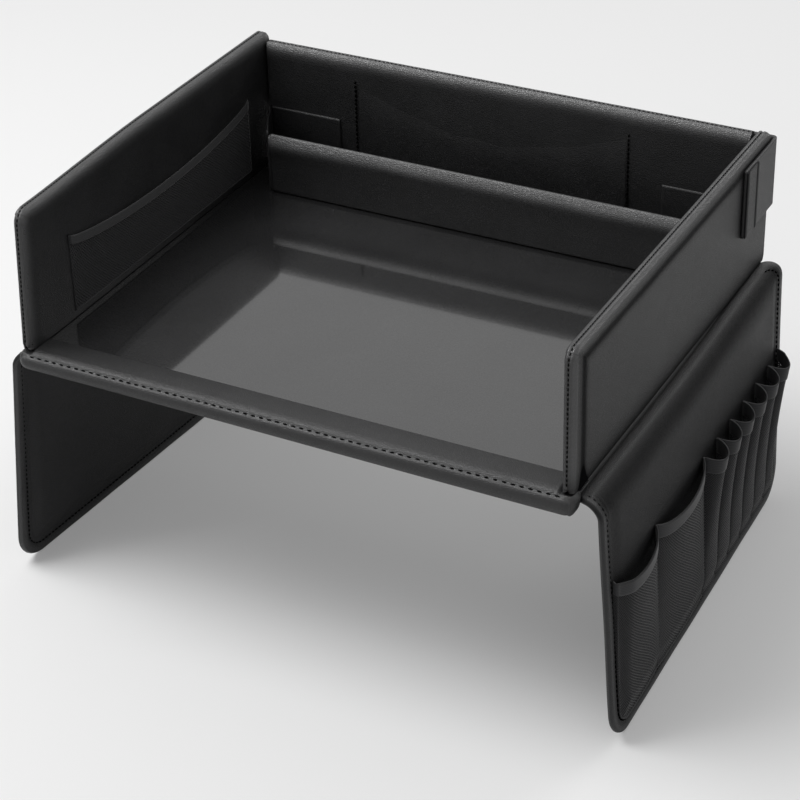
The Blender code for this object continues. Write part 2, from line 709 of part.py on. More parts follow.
def add_wing_pockets():
    """Two wide net pockets and a row of pen sleeves on the right wing."""
    low = WING_BOTTOM + POCKET_FOOT
    high = -POCKET_TOP_DROP
    at = WING_FRONT + POCKET_START
    for name, width in zip(("front", "middle"), WIDE_POCKET_WIDTHS):
        add_wide_pocket(name, (at, at + width), low, high)
        at += width
    pitch = (WING_REAR - SLEEVE_REAR_MARGIN - at) / SLEEVE_COUNT
    bulges = (POCKET_FOOT_BULGE, SLEEVE_BULGE)
    cells = (SLEEVE_COLUMNS, NET_ROWS)
    for index in range(SLEEVE_COUNT):
        span = (at + pitch * index, at + pitch * (index + 1))
        mesh = bulged_mesh(span, (low, high), bulges, (0, RIM_DIP), POCKET_SHEET, cells)
        solidify(add_piece(f"pen_sleeve_{index + 1}", mesh, "right_wing", "net"), POCKET_SHEET, 1)


def add_strap_loops():
    """Two webbing loops on the floor panel's rear edge."""
    for side, sign in SIDES.items():
        front = REAR + GAP
        low, high = (front, 0), (front + LOOP_REACH, LOOP_HEIGHT)
        corner = min(LOOP_CORNER, TWO_ROUNDS_SHARE * min(LOOP_REACH, LOOP_HEIGHT))
        outlines = [
            inset_outline(low, high, [corner] * 4, 0),
            inset_outline(low, high, [corner] * 4, LOOP_SHEET),
        ]
        place = basis((0, 1, 0), (0, 0, 1), (1, 0, 0), (sign * (HALF_WIDTH - LOOP_INSET), 0, 0))
        half = LOOP_WIDTH / 2
        add_flat(side + "_strap_loop", "tray", "webbing", outlines, -half, half, place)


clear_scene()
PARTS = new_collection(OBJECT_NAME)
CUTTERS = new_collection("cutters")
AXES = make_pivots(PARTS)
add_floor()
add_side_walls()
add_back_wall()
add_tabs()
add_mesh_pocket()
add_rear_pocket()
add_wings()
add_wing_pockets()
add_strap_loops()
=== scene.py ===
# %% [markdown]
# # Car seat tray table
# A soft folding tray for a child's car seat: a padded floor panel with a clear film over it, three
# padded walls, a long pocket across the back, and two wings that hang over the knees. Nearly all of
# it is dark imitation leather sewn round boards and foam. The imported model holds the exact places,
# so the first step loads it.

# %% The imported model
import json
import math

import bmesh
import bpy
from mathutils import Matrix, Vector
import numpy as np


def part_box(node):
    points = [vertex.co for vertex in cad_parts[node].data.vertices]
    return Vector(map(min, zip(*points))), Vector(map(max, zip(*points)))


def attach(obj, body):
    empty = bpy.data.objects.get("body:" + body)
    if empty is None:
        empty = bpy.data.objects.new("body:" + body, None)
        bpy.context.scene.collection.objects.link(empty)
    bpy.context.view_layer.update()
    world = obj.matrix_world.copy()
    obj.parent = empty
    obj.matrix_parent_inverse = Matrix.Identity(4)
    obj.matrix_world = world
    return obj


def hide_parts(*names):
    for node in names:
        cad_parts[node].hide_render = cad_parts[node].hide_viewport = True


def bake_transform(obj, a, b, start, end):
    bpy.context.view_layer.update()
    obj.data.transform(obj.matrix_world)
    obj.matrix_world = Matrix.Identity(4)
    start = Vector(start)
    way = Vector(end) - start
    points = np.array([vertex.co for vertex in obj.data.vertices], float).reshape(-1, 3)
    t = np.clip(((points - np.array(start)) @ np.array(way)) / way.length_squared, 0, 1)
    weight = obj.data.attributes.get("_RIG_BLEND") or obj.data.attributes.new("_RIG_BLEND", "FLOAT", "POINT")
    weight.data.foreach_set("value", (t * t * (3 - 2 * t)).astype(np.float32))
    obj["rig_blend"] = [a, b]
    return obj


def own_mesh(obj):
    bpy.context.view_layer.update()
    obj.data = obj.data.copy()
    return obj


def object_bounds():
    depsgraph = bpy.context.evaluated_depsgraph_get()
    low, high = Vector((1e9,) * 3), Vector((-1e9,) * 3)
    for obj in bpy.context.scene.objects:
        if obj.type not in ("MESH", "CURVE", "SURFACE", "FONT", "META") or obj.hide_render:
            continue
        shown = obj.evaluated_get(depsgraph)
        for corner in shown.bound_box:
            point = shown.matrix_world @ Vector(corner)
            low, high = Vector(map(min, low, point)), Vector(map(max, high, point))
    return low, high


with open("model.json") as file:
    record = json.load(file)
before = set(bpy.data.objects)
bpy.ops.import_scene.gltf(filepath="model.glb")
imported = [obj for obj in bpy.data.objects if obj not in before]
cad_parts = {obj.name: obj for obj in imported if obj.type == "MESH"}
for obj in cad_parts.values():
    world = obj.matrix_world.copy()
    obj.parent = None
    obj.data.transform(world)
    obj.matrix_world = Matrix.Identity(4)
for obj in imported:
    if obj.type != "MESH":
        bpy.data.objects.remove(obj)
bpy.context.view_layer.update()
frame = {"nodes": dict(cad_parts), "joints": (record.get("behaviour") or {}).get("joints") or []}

# %% [markdown]
# ## Sizes
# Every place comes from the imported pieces, so the covers made here sit where the boards and joints
# are. The few sizes below are the ones that only the finish has: how far a padded edge rolls over,
# how deep its seam lies, and how long the stitches are. Crease, crest and hollow are given as their
# place and width in shares of the roll, and their height.

# %% Sizes
MM = 0.001
SIDES = {"left": -1, "right": 1}
WALL_ROLL = 12 * MM
FRONT_ROLL = 15 * MM
REAR_ROLL = 4 * MM
FOOT_ROLL = 1.2 * MM
SEAM_DEPTH = 1.3 * MM
SEAM_WIDTH = 1.0 * MM
WIDE = 10 * MM
CREASE = (0.28, 0.055, -0.5 * MM)
CREST = (0.55, 0.20, 0.5 * MM)
HOLLOW = (0.80, 0.34, -0.5 * MM)
OUTER_FOOT = 6 * MM
OUTER_TUCK = 1.6 * MM
ROUND_POWER = 2.0
ROLL_ROWS = 22

floor_low, floor_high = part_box("floor_top_cover")
film_low, film_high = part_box("floor_film")
hem_low, hem_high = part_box("front_hem")
wall_low, wall_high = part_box("right_wall_seam")
wall_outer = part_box("right_wall_outer_cover")[1].x
wall_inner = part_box("right_wall_inner_cover")[0].x
wall_thickness = wall_outer - wall_inner
wall_height = wall_high.z - wall_low.z
print("walls", round(wall_height / MM, 1), "mm high and", round(wall_thickness / MM, 1), "thick")

# %% [markdown]
# ## Nodes for materials
# A finish is a small network of shader nodes. Small helpers keep each network readable: one makes
# a material with its main shader, one adds a node and links its inputs by name, and the others are
# the sums, mixes and bumps that most finishes need. All patterns are read from object coordinates,
# which are metres here, or from a piece's own flat UV map, so a scale of 1000 means one cell each
# millimetre.

# %% Helpers for materials
def new_material(name, color, roughness, specular):
    """A material with one Principled shader, and the tree and shader to build on."""
    material = bpy.data.materials.new(name)
    material.use_nodes = True
    tree = material.node_tree
    shader = tree.nodes["Principled BSDF"]
    shader.inputs["Base Color"].default_value = (*color, 1)
    shader.inputs["Roughness"].default_value = roughness
    shader.inputs["Specular IOR Level"].default_value = specular
    return material, tree, shader


def add_node(tree, kind, inputs=None, **settings):
    """A node with its settings, its inputs linked or set by name or number."""
    made = tree.nodes.new("ShaderNode" + kind)
    for key, value in settings.items():
        setattr(made, key, value)
    for key, value in (inputs or {}).items():
        if isinstance(value, bpy.types.NodeSocket):
            tree.links.new(value, made.inputs[key])
        else:
            made.inputs[key].default_value = value
    return made


def math_node(tree, operation, first, second=0.0, third=0.0):
    """The result of one sum on numbers or sockets."""
    return add_node(tree, "Math", {0: first, 1: second, 2: third}, operation=operation).outputs[0]


def map_range(tree, value, low, high, to_low, to_high):
    """A value stretched from one range to another, and held at its ends."""
    inputs = {
        "Value": value, "From Min": low, "From Max": high, "To Min": to_low, "To Max": to_high}
    return add_node(tree, "MapRange", inputs).outputs["Result"]


def mix_colors(tree, share, first, second):
    """A colour between two others, by a share from 0 to 1."""
    inputs = {0: share, 6: (*first, 1), 7: (*second, 1)}
    return add_node(tree, "Mix", inputs, data_type="RGBA", clamp_factor=True).outputs[2]


def finish_shader(tree, shader, color, height, strength, depth):
    """Link a colour to the main shader, and a bump of that depth."""
    tree.links.new(color, shader.inputs["Base Color"])
    bump = add_node(tree, "Bump", {"Strength": strength, "Distance": depth, "Height": height})
    tree.links.new(bump.outputs["Normal"], shader.inputs["Normal"])


def place_of(tree):
    """The object coordinates of the point that is shaded."""
    return add_node(tree, "TexCoord").outputs["Object"]


def flat_of(tree):
    """The point's place on the flat cloth, in metres, from the piece's own UV map."""
    return add_node(tree, "UVMap", uv_map="flat").outputs["UV"]


print("material helpers ready")

# %% [markdown]
# ## Leather
# The covers are imitation leather: a dark plastic skin pressed with fine pebbles about a millimetre
# across, softer and shinier where it is rubbed along the padded edges. The pebbles are cells of a
# Voronoi texture, made uneven by noise. A painted image would repeat and blur close up, while this
# grain is as fine as wanted everywhere. An attribute that the padded pieces carry follows their
# shape and holds both wear and painted light: rolled edges get a lighter colour and more gloss,
# partly wear and partly a painted highlight, while hollows, the outer walls' feet and parts of the
# wings get a darker colour and less gloss as painted shade. The wings have a duller leather, whose
# lower gloss is also painted shade, and the corner tabs a lighter one.

# %% Leather
LEATHER_COLOR = (0.0052, 0.0052, 0.0056)
# The lighter tone of the rolled edges: partly wear, partly a painted highlight.
LEATHER_WORN_AND_LIT = (0.0330, 0.0330, 0.0340)
TAB_COLOR = (0.024, 0.024, 0.025)
TAB_WORN = (0.038, 0.038, 0.039)
PEBBLE = 1.2 * MM
PEBBLE_BEND = 0.7 * PEBBLE
PEBBLE_CREASE = 0.28
GRAIN_DEPTH = 0.13 * MM
PATCHES = {"Scale": 34.0, "Detail": 4.0}
WORN_AND_LIT_SHARE = 0.8
WORN_SHINE = -0.09
CREASE_DULL = 0.16


def leather_grain(tree, place):
    """The height of the pebbled grain, from 0 in its creases to 1 on its tops."""
    noise = {"Vector": place, "Scale": 0.35 / PEBBLE, "Detail": 2.0}
    wobble = add_node(tree, "TexNoise", noise).outputs["Color"]
    bent = add_node(tree, "VectorMath", {0: wobble, 1: (PEBBLE_BEND,) * 3}, operation="MULTIPLY")
    moved = add_node(tree, "VectorMath", {0: place, 1: bent.outputs[0]}, operation="ADD")
    grid = {"Vector": moved.outputs[0], "Scale": 1 / PEBBLE}
    cells = add_node(tree, "TexVoronoi", grid, feature="DISTANCE_TO_EDGE")
    return map_range(tree, cells.outputs["Distance"], 0.0, PEBBLE_CREASE, 0.0, 1.0)


def make_leather(name, color, worn_and_lit, roughness, specular):
    """Pebbled leather: lighter and glossier with wear and painted highlight, darker with painted shade."""
    material, tree, shader = new_material(name, color, roughness, specular)
    place = place_of(tree)
    grain = leather_grain(tree, place)
    patches = add_node(tree, "TexNoise", {"Vector": place, **PATCHES}).outputs["Fac"]
    # The attribute holds wear and painted light: highlight on rolls, shade in hollows and under folds.
    wear_and_painted_light = add_node(tree, "Attribute", attribute_name="wear_and_painted_light").outputs["Fac"]
    mottled = math_node(tree, "MULTIPLY_ADD", patches, 0.35, -0.10)
    share = math_node(tree, "MULTIPLY_ADD", wear_and_painted_light, WORN_AND_LIT_SHARE, mottled)
    crease = map_range(tree, grain, 0.0, 1.0, roughness + CREASE_DULL, roughness)
    shine = math_node(tree, "MULTIPLY_ADD", wear_and_painted_light, WORN_SHINE, crease)
    middle = math_node(tree, "SUBTRACT", shine, 0.05)
    uneven = math_node(tree, "MULTIPLY_ADD", patches, 0.10, middle)
    # Gloss rises with the painted highlight and falls in the painted shade.
    gloss = math_node(tree, "MULTIPLY_ADD", wear_and_painted_light, specular, specular)
    tree.links.new(uneven, shader.inputs["Roughness"])
    tree.links.new(gloss, shader.inputs["Specular IOR Level"])
    finish_shader(tree, shader, mix_colors(tree, share, color, worn_and_lit), grain, 0.9, GRAIN_DEPTH)
    return material


leather = make_leather("leather", LEATHER_COLOR, LEATHER_WORN_AND_LIT, 0.37, 0.5)
# A duller copy of the leather for the wings; its lower gloss is painted shade.
dull_shaded_wing_leather = make_leather("dull_shaded_wing_leather", LEATHER_COLOR, LEATHER_WORN_AND_LIT, 0.42, 0.28)
tab_leather = make_leather("tab_leather", TAB_COLOR, TAB_WORN, 0.36, 0.5)
print("leather with a grain of", PEBBLE / MM, "mm")

# %% [markdown]
# ## Clear film
# A glossy clear sheet lies on the floor's leather, so the floor mirrors the walls and the room
# while the grain still shows through. One shader does both: the base is the leather under the
# film, and a clear coat on top is the film's own smooth face, which gets no bump.

# %% Film
FILM_DARK = (0.009, 0.009, 0.0094)
FILM_LIGHT = (0.024, 0.024, 0.0246)
FILM_ROUGHNESS = 0.05
FILM_COAT = {"Coat Weight": 1.0, "Coat Roughness": FILM_ROUGHNESS, "Coat IOR": 1.66}


def make_film():
    """Leather seen through a smooth glossy film."""
    material, tree, shader = new_material("film", FILM_DARK, 0.5, 0.1)
    place = place_of(tree)
    grain = leather_grain(tree, place)
    patches = add_node(tree, "TexNoise", {"Vector": place, "Scale": 22.0, "Detail": 3.0})
    shaded = map_range(tree, grain, 0, 1, 0.6, 1.0)
    share = math_node(tree, "MULTIPLY", patches.outputs["Fac"], shaded)
    color = mix_colors(tree, share, FILM_DARK, FILM_LIGHT)
    finish_shader(tree, shader, color, grain, 0.5, 0.08 * MM)
    for name, value in FILM_COAT.items():
        shader.inputs[name].default_value = value
    return material


film = make_film()
print("film coat roughness", FILM_ROUGHNESS)

# %% [markdown]
# ## Cloths, thread and tapes
# The pockets are knitted net, their tops are ribbed elastic, the underside is a plain woven lining,
# and the seat straps' loops are webbing. Each is a woven pattern in the cloth's own flat
# coordinates: waves crossing for a weave, one wave for ribs. The fuzzy closing tapes are noise at
# the size of their loops.

# %% Cloths
def ripple(tree, axis, pitch):
    """A sine wave of that pitch along one axis of the flat cloth."""
    part = add_node(tree, "SeparateXYZ", {0: flat_of(tree)}).outputs[axis]
    return math_node(tree, "SINE", math_node(tree, "MULTIPLY", part, math.tau / pitch))


def ribs(pitch):
    """A height with ribs along the flat cloth's length."""
    return lambda tree: math_node(tree, "MULTIPLY_ADD", ripple(tree, 1, pitch), 0.5, 0.5)


def weave(pitch):
    """A height with a plain weave, its threads crossing over and under."""
    def height_of(tree):
        first, second = ripple(tree, 0, 2 * pitch), ripple(tree, 1, 2 * pitch)
        crossed = math_node(tree, "MULTIPLY", first, second)
        return math_node(tree, "MULTIPLY_ADD", crossed, 0.5, 0.5)
    return height_of


def loops(size):
    """A height with small tangled loops."""
    def height_of(tree):
        cells = add_node(tree, "TexVoronoi", {"Vector": place_of(tree), "Scale": 1 / size})
        return map_range(tree, cells.outputs["Distance"], 0.0, 0.7, 1.0, 0.0)
    return height_of


def make_cloth(name, dark, light, roughness, height_of, depth, sheen=0.25):
    """A cloth whose threads are lighter on top, with a soft sheen."""
    material, tree, shader = new_material(name, light, roughness, 0.2)
    height = height_of(tree)
    noise = {"Vector": place_of(tree), "Scale": 2600.0, "Detail": 2.0}
    fuzz = add_node(tree, "TexNoise", noise).outputs["Fac"]
    share = math_node(tree, "MULTIPLY_ADD", fuzz, 0.5, math_node(tree, "MULTIPLY", height, 0.7))
    rough = map_range(tree, fuzz, 0.3, 0.7, roughness - 0.06, roughness + 0.06)
    tree.links.new(rough, shader.inputs["Roughness"])
    finish_shader(tree, shader, mix_colors(tree, share, dark, light), share, 0.6, depth)
    shader.inputs["Specular IOR Level"].default_value = sheen
    shader.inputs["Sheen Weight"].default_value = sheen
    shader.inputs["Sheen Roughness"].default_value = 0.5
    return material


net_cloth = make_cloth(
    "net", (0.011, 0.011, 0.012), (0.029, 0.029, 0.031), 0.7, loops(0.5 * MM), 0.05 * MM, 0.18)
elastic = make_cloth(
    "elastic", (0.014, 0.014, 0.015), (0.032, 0.032, 0.034), 0.62, ribs(1.3 * MM), 0.12 * MM, 0.2)
lining = make_cloth(
    "lining", (0.008, 0.008, 0.009), (0.022, 0.022, 0.024), 0.8, weave(0.6 * MM), 0.10 * MM)
webbing = make_cloth(
    "webbing", (0.010, 0.010, 0.011), (0.032, 0.032, 0.034), 0.7, weave(1.4 * MM), 0.25 * MM)
tape = make_cloth(
    "tape", (0.006, 0.006, 0.007), (0.026, 0.026, 0.028), 0.9, loops(0.9 * MM), 0.4 * MM)
thread = make_cloth(
    "thread", (0.001, 0.001, 0.001), (0.004, 0.004, 0.004), 0.85, loops(0.3 * MM), 0.05 * MM, 0.0)
edging = make_cloth(
    "edging", (0.003, 0.003, 0.003), (0.010, 0.010, 0.011), 0.7, ribs(0.8 * MM), 0.08 * MM, 0.1)
pale_thread = make_cloth(
    "pale_thread", (0.03, 0.03, 0.031), (0.09, 0.09, 0.093), 0.7, loops(0.3 * MM), 0.05 * MM)
cloths = (net_cloth, elastic, lining, webbing, tape, thread, edging, pale_thread)
print("cloths:", ", ".join(cloth.name for cloth in cloths))

# %% [markdown]
# ## Stiffening boards
# The boards inside the floor, the back wall and the pocket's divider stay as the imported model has
# them, and those of the side walls are made with their walls. Nobody sees them on a finished tray,
# but they get the grey pressed board they are cut from.

# %% Board
BOARD_DARK = (0.13, 0.115, 0.095)
BOARD_LIGHT = (0.27, 0.24, 0.20)


def make_board():
    """Grey pressed board with short fibres."""
    material, tree, shader = new_material("board", BOARD_LIGHT, 0.8, 0.3)
    noise = {"Vector": place_of(tree), "Scale": 900.0, "Detail": 5.0, "Distortion": 1.5}
    fibres = add_node(tree, "TexNoise", noise).outputs["Fac"]
    color = mix_colors(tree, fibres, BOARD_DARK, BOARD_LIGHT)
    finish_shader(tree, shader, color, fibres, 0.4, 0.1 * MM)
    return material


board = make_board()
KEPT_BOARDS = ["floor_board", "back_wall_board", "pocket_front_board"]
for node_name in KEPT_BOARDS:
    frame["nodes"][node_name].data.materials.clear()
    frame["nodes"][node_name].data.materials.append(board)
print("boards kept:", len(KEPT_BOARDS))

# %% [markdown]
# ## Turning a bmesh into a piece
# A bmesh is Blender's editable mesh. Each piece below is made as one, placed in its mesh, and then
# turned into an object by these helpers, which shade it smooth and name the body it moves with.
# Two more helpers give the matrix that stands a flat panel up along a side or across the rear.

# %% Finishing a piece
def put_in_scene(name, data):
    """A new object that holds a mesh, a lamp or a camera."""
    made = bpy.data.objects.new(name, data)
    bpy.context.scene.collection.objects.link(made)
    return made


def mesh_from(name, build, material):
    """A mesh with one material from a bmesh, which is then freed."""
    mesh = bpy.data.meshes.new(name)
    build.to_mesh(mesh)
    build.free()
    mesh.materials.append(material)
    return mesh


def make_object(name, build, material):
    """A smooth object at the origin from a bmesh that is already in place."""
    mesh = mesh_from(name, build, material)
    mesh.shade_smooth()
    piece = put_in_scene(name, mesh)
    print(name, len(mesh.polygons), "faces")
    return piece


def finish_piece(name, build, material, body, replaced=()):
    """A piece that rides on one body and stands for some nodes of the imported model."""
    piece = make_object(name, build, material)
    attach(piece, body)
    if replaced:
        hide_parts(*replaced)
    return piece


def finish_pad(name, build, body, nodes):
    """A padded leather piece that rides on one body and stands for some nodes of the imported model."""
    finish_piece(name, build, leather, body, nodes)


def thicken(piece, thickness):
    """Give an open sheet its thickness, half to each side."""
    modifier = piece.modifiers.new("thickness", "SOLIDIFY")
    modifier.thickness = thickness
    modifier.offset = 0.0
    return piece


def basis(along, up, outward, point):
    """Matrix that takes local X, Y and Z to three world directions at a point."""
    turn = Matrix((along, up, outward)).transposed().to_4x4()
    return Matrix.Translation(point) @ turn


def side_place(x):
    """Matrix that stands a panel up along the tray, facing right."""
    return basis((0, 1, 0), (0, 0, 1), (1, 0, 0), (x, 0, 0))


def rear_place(y):
    """Matrix that stands a panel up across the tray, facing the front."""
    return basis((1, 0, 0), (0, 0, 1), (0, -1, 0), (0, y, 0))


print("piece helpers ready")

# %% [markdown]
# ## Padded panels
# A wall is two covers sewn together round a board and foam. The foam swells between the seams, so
# the faces roll over towards the edge in a wide soft curve and meet in a narrow valley where the
# thread pulls them in. Bevelling a box would give an even round edge without that valley. Here
# a flat grid is crowded towards its rim, lifted by a rounded height, and mirrored to the other
# side, which gives full control of the roll and keeps the mesh even.

# %% Padded panel
def bell(value, middle, width):
    """A soft hump, 1 at its middle and fading over its width."""
    return math.exp(-(((value - middle) / width) ** 2))


def smooth(value):
    """A share held between 0 and 1 and eased at both ends."""
    value = min(max(value, 0), 1)
    return value * value * (3 - 2 * value)


def rise_share(distance, roll):
    """How far the padding has risen, from 0 at the rim to 1 past the roll."""
    left = 1 - min(distance / roll, 1)
    return max(1 - left ** ROUND_POWER, 0) ** (1 / ROUND_POWER)


def rim_distance(row, rows, half, roll):
    """Distance of a grid row from the rim: even along the roll's curve, then even over the face."""
    if row <= ROLL_ROWS:
        return roll * (1 - math.cos(math.pi / 2 * row / ROLL_ROWS))
    return roll + (half - roll) * (row - ROLL_ROWS) / (rows - ROLL_ROWS)


def padded_panel(low, high, thickness, rolls, corners, counts, valley=SEAM_DEPTH, shape=None):
    """Closed padded panel in plan from low to high, its middle plane at height 0.

    rolls are the widths of the rolled edge at the left, right, lower and upper side, and corners
    the radii at lower left, lower right, upper right and upper left. shape(distance) may replace
    the rounded height. Points carry two attributes: one of wear and painted highlight, which is 1
    on the rolled edges' tops, and inset, the distance from the nearest rim with a wide roll, in
    shares of that roll.
    """
    build = bmesh.new()
    wear_and_painted_light = build.verts.layers.float.new("wear_and_painted_light")
    inset = build.verts.layers.float.new("inset")
    bmesh.ops.create_grid(build, x_segments=counts[0], y_segments=counts[1], size=1)
    half = ((high[0] - low[0]) / 2, (high[1] - low[1]) / 2)
    middle = ((high[0] + low[0]) / 2, (high[1] + low[1]) / 2)
    for vert in build.verts:
        signs = [1 if vert.co[axis] >= 0 else -1 for axis in (0, 1)]
        reach, rises, rubbed_and_lit, wide = [], [], [], []
        for axis in (0, 1):
            rows = counts[axis] / 2
            roll = rolls[2 * axis + (signs[axis] > 0)]
            distance = rim_distance((1 - abs(vert.co[axis])) * rows, rows, half[axis], roll)
            reach.append(distance)
            rises.append(rise_share(distance, roll))
            # Wear and a painted highlight along each wide roll, brightest just inside the rim.
            rubbed_and_lit.append(bell(distance, 0.24 * roll, 0.26 * roll) if roll > 3 * MM else 0)
            if roll > WIDE:
                wide.append(distance / roll)
        distance = min(reach)
        height = thickness / 2 * min(rises) if shape is None else shape(distance)
        corner = corners[(0, 1)[signs[0] > 0] if signs[1] < 0 else (3, 2)[signs[0] > 0]]
        plan = round_corner(half, reach, corner, valley * math.exp(-((height / SEAM_WIDTH) ** 2)))
        vert.co = (middle[0] + signs[0] * plan[0], middle[1] + signs[1] * plan[1], height)
        vert[wear_and_painted_light] = max(rubbed_and_lit)
        vert[inset] = min(wide, default=9.0)
    whole = build.verts[:] + build.edges[:] + build.faces[:]
    bmesh.ops.mirror(build, geom=whole, axis="Z", merge_dist=1e-6)
    bmesh.ops.recalc_face_normals(build, faces=build.faces)
    return build


def round_corner(half, reach, radius, pull):
    """Plan place, from the middle, of a point at two distances from the rim, pulled in a little."""
    past = [radius - distance for distance in reach]
    if min(past) > 0:
        scale = (max(past) - pull) / math.hypot(*past)
        return [half[axis] - radius + past[axis] * scale for axis in (0, 1)]
    place = [half[axis] - reach[axis] for axis in (0, 1)]
    place[0 if reach[0] < reach[1] else 1] -= pull
    return place


def plate(low, high, thickness, roll, corner, counts, place):
    """A closed flat plate with small round edges, moved to its place."""
    build = padded_panel(low, high, thickness, (roll,) * 4, (corner,) * 4, counts, valley=0)
    build.transform(place)
    return build


def wave(place, amount):
    """A slow unevenness of hand-sewn padding, in metres, smooth along the face."""
    crossed = math.sin(place[0] * 41 + 0.7) * math.sin(place[1] * 57 + 1.9)
    return amount * (crossed + 0.5 * math.sin(place[0] * 93 + place[1] * 71))


def quilt(vert, thickness, shift, amount):
    """Lift one point by the unevenness, and say how full the padding was there.

    shift moves the pattern along, so no two panels are alike.
    """
    full = abs(vert.co.z) / (thickness / 2)
    lift = wave((vert.co.x + shift, vert.co.y), amount) * full ** 3
    vert.co.z += math.copysign(lift, vert.co.z)
    return full


def crease_face(build, outward):
    """Shape the rolls of one face: a crease beside the seam, a crest, and a hollow with painted shade."""
    wear_and_painted_light = build.verts.layers.float["wear_and_painted_light"]
    inset = build.verts.layers.float["inset"]
    for vert in build.verts:
        if vert.co.z * outward > 0:
            humps = (CREASE, CREST, HOLLOW)
            lift = sum(height * bell(vert[inset], at, width) for at, width, height in humps)
            vert.co.z += math.copysign(lift, outward)
            # Painted shade in the hollow: a darker, less glossy band.
            vert[wear_and_painted_light] -= 0.9 * bell(vert[inset], *HOLLOW[:2])


print("padded panels: roll", WALL_ROLL / MM, "mm, seam valley", SEAM_DEPTH / MM, "mm")

# %% [markdown]
# ## Stitches
# Every seam shows its thread as a row of short rounded stitches lying in a groove. One stitch is a
# tiny sphere of a few dozen faces, stretched along the seam. A row is walked along a path of
# points, each with the direction that faces out of the leather, so the same helper sews straight
# edges, rounded corners and curved wings.

# %% Stitches
def sew(build, path, pitch, length, width):
    """Add stitches to a bmesh along a path of (point, outward) pairs."""
    carried = pitch / 2
    made = 0
    for (start, facing), (end, _) in zip(path, path[1:]):
        step = end - start
        distance = step.length
        if distance == 0:
            continue
        along = step / distance
        side = along.cross(facing).normalized()
        up = side.cross(along).normalized()
        while carried <= distance:
            spot = start + along * carried
            place = basis(along * length / 2, side * width / 2, up * width / 2, spot)
            bmesh.ops.create_uvsphere(build, u_segments=6, v_segments=4, radius=1, matrix=place)
            carried += pitch
            made += 1
        carried -= distance
    return made


def panel_path(low, high, corners, inset, height, place, sides):
    """Points along a panel's rounded rim, inset from it, over the named sides in order.

    Sides are given as (fixed axis, sign), and the path runs along each and round their corners.
    """
    spots = []
    order = [(0, -1), (1, 1), (0, 1), (1, -1)]
    middle = Vector(((low[0] + high[0]) / 2, (low[1] + high[1]) / 2))
    half = Vector(((high[0] - low[0]) / 2, (high[1] - low[1]) / 2))
    radii = {
        ((0, -1), (1, 1)): corners[3], ((1, 1), (0, 1)): corners[2],
        ((0, 1), (1, -1)): corners[1], ((1, -1), (0, -1)): corners[0],
    }
    normal = place.to_3x3() @ Vector((0, 0, 1 if height >= 0 else -1))
    chosen = [side for side in order if side in sides]
    for index, side in enumerate(chosen):
        following = order[(order.index(side) + 1) % 4]
        before = order[(order.index(side) - 1) % 4]
        other = 1 - side[0]
        for neighbour, at_start in ((before, True), (following, False)):
            radius = radii[(before, side) if at_start else (side, following)]
            point = Vector((0, 0))
            point[side[0]] = middle[side[0]] + side[1] * (half[side[0]] - inset)
            point[other] = middle[other] + neighbour[1] * (half[other] - radius)
            spots.append((point[0], point[1]))
            if not at_start and following in chosen:
                centre = Vector((0, 0))
                centre[side[0]] = middle[side[0]] + side[1] * (half[side[0]] - radius)
                centre[other] = middle[other] + following[1] * (half[other] - radius)
                for step in range(1, 8):
                    turn = math.pi / 2 * step / 8
                    arm = Vector((0, 0))
                    arm[side[0]] = side[1] * math.cos(turn) * (radius - inset)
                    arm[other] = following[1] * math.sin(turn) * (radius - inset)
                    spots.append(tuple(centre + arm))
    return [(place @ Vector((x, y, height)), normal) for x, y in spots]


print("a stitch has", 6 * 4, "faces")

# %% [markdown]
# ## Side walls
# Each side wall stands on the floor panel's edge, from just behind the hem to the tray's rear. Its
# front upper corner is cut round. The panel helper makes the padding, a slow wave makes it look
# sewn by hand, and one row of small stitches lies in the valley round the front and upper edges.
# The wall's foot has only a narrow roll, because it is sewn down to the floor there. The
# photographed left wall stands a little less true than the right one, so its points are moved
# slightly, and the board inside it with them.

# %% Side walls
WALL_CORNERS = (6 * MM, 6 * MM, 8 * MM, 11 * MM)
WALL_CELLS = (200, 96)
WALL_PARTS = ("_outer_cover", "_inner_cover", "_seam", "_foam")
HAND_WAVE = 0.16 * MM
WALL_STITCH = (3.3 * MM, 2.4 * MM, 0.8 * MM)
STITCH_LIFT = 0.35 * MM
FOOT_SHADE = 11 * MM
LEFT_SET = 2 * MM
LEFT_SLANT = 7.4 * MM
LEFT_RISE = 4 * MM


def settle(build, side):
    """Slant the left wall's front edge back towards its top, and raise its top towards the rear."""
    for vert in build.verts if side == "left" else ():
        up = (vert.co.z - wall_low.z) / (wall_high.z - wall_low.z)
        behind = (vert.co.y - wall_low.y) / (wall_high.y - wall_low.y)
        vert.co.y += (LEFT_SET + LEFT_SLANT * up) * max(1 - behind / 0.4, 0) ** 1.5
        vert.co.z += LEFT_RISE * up * smooth(behind / 0.5)


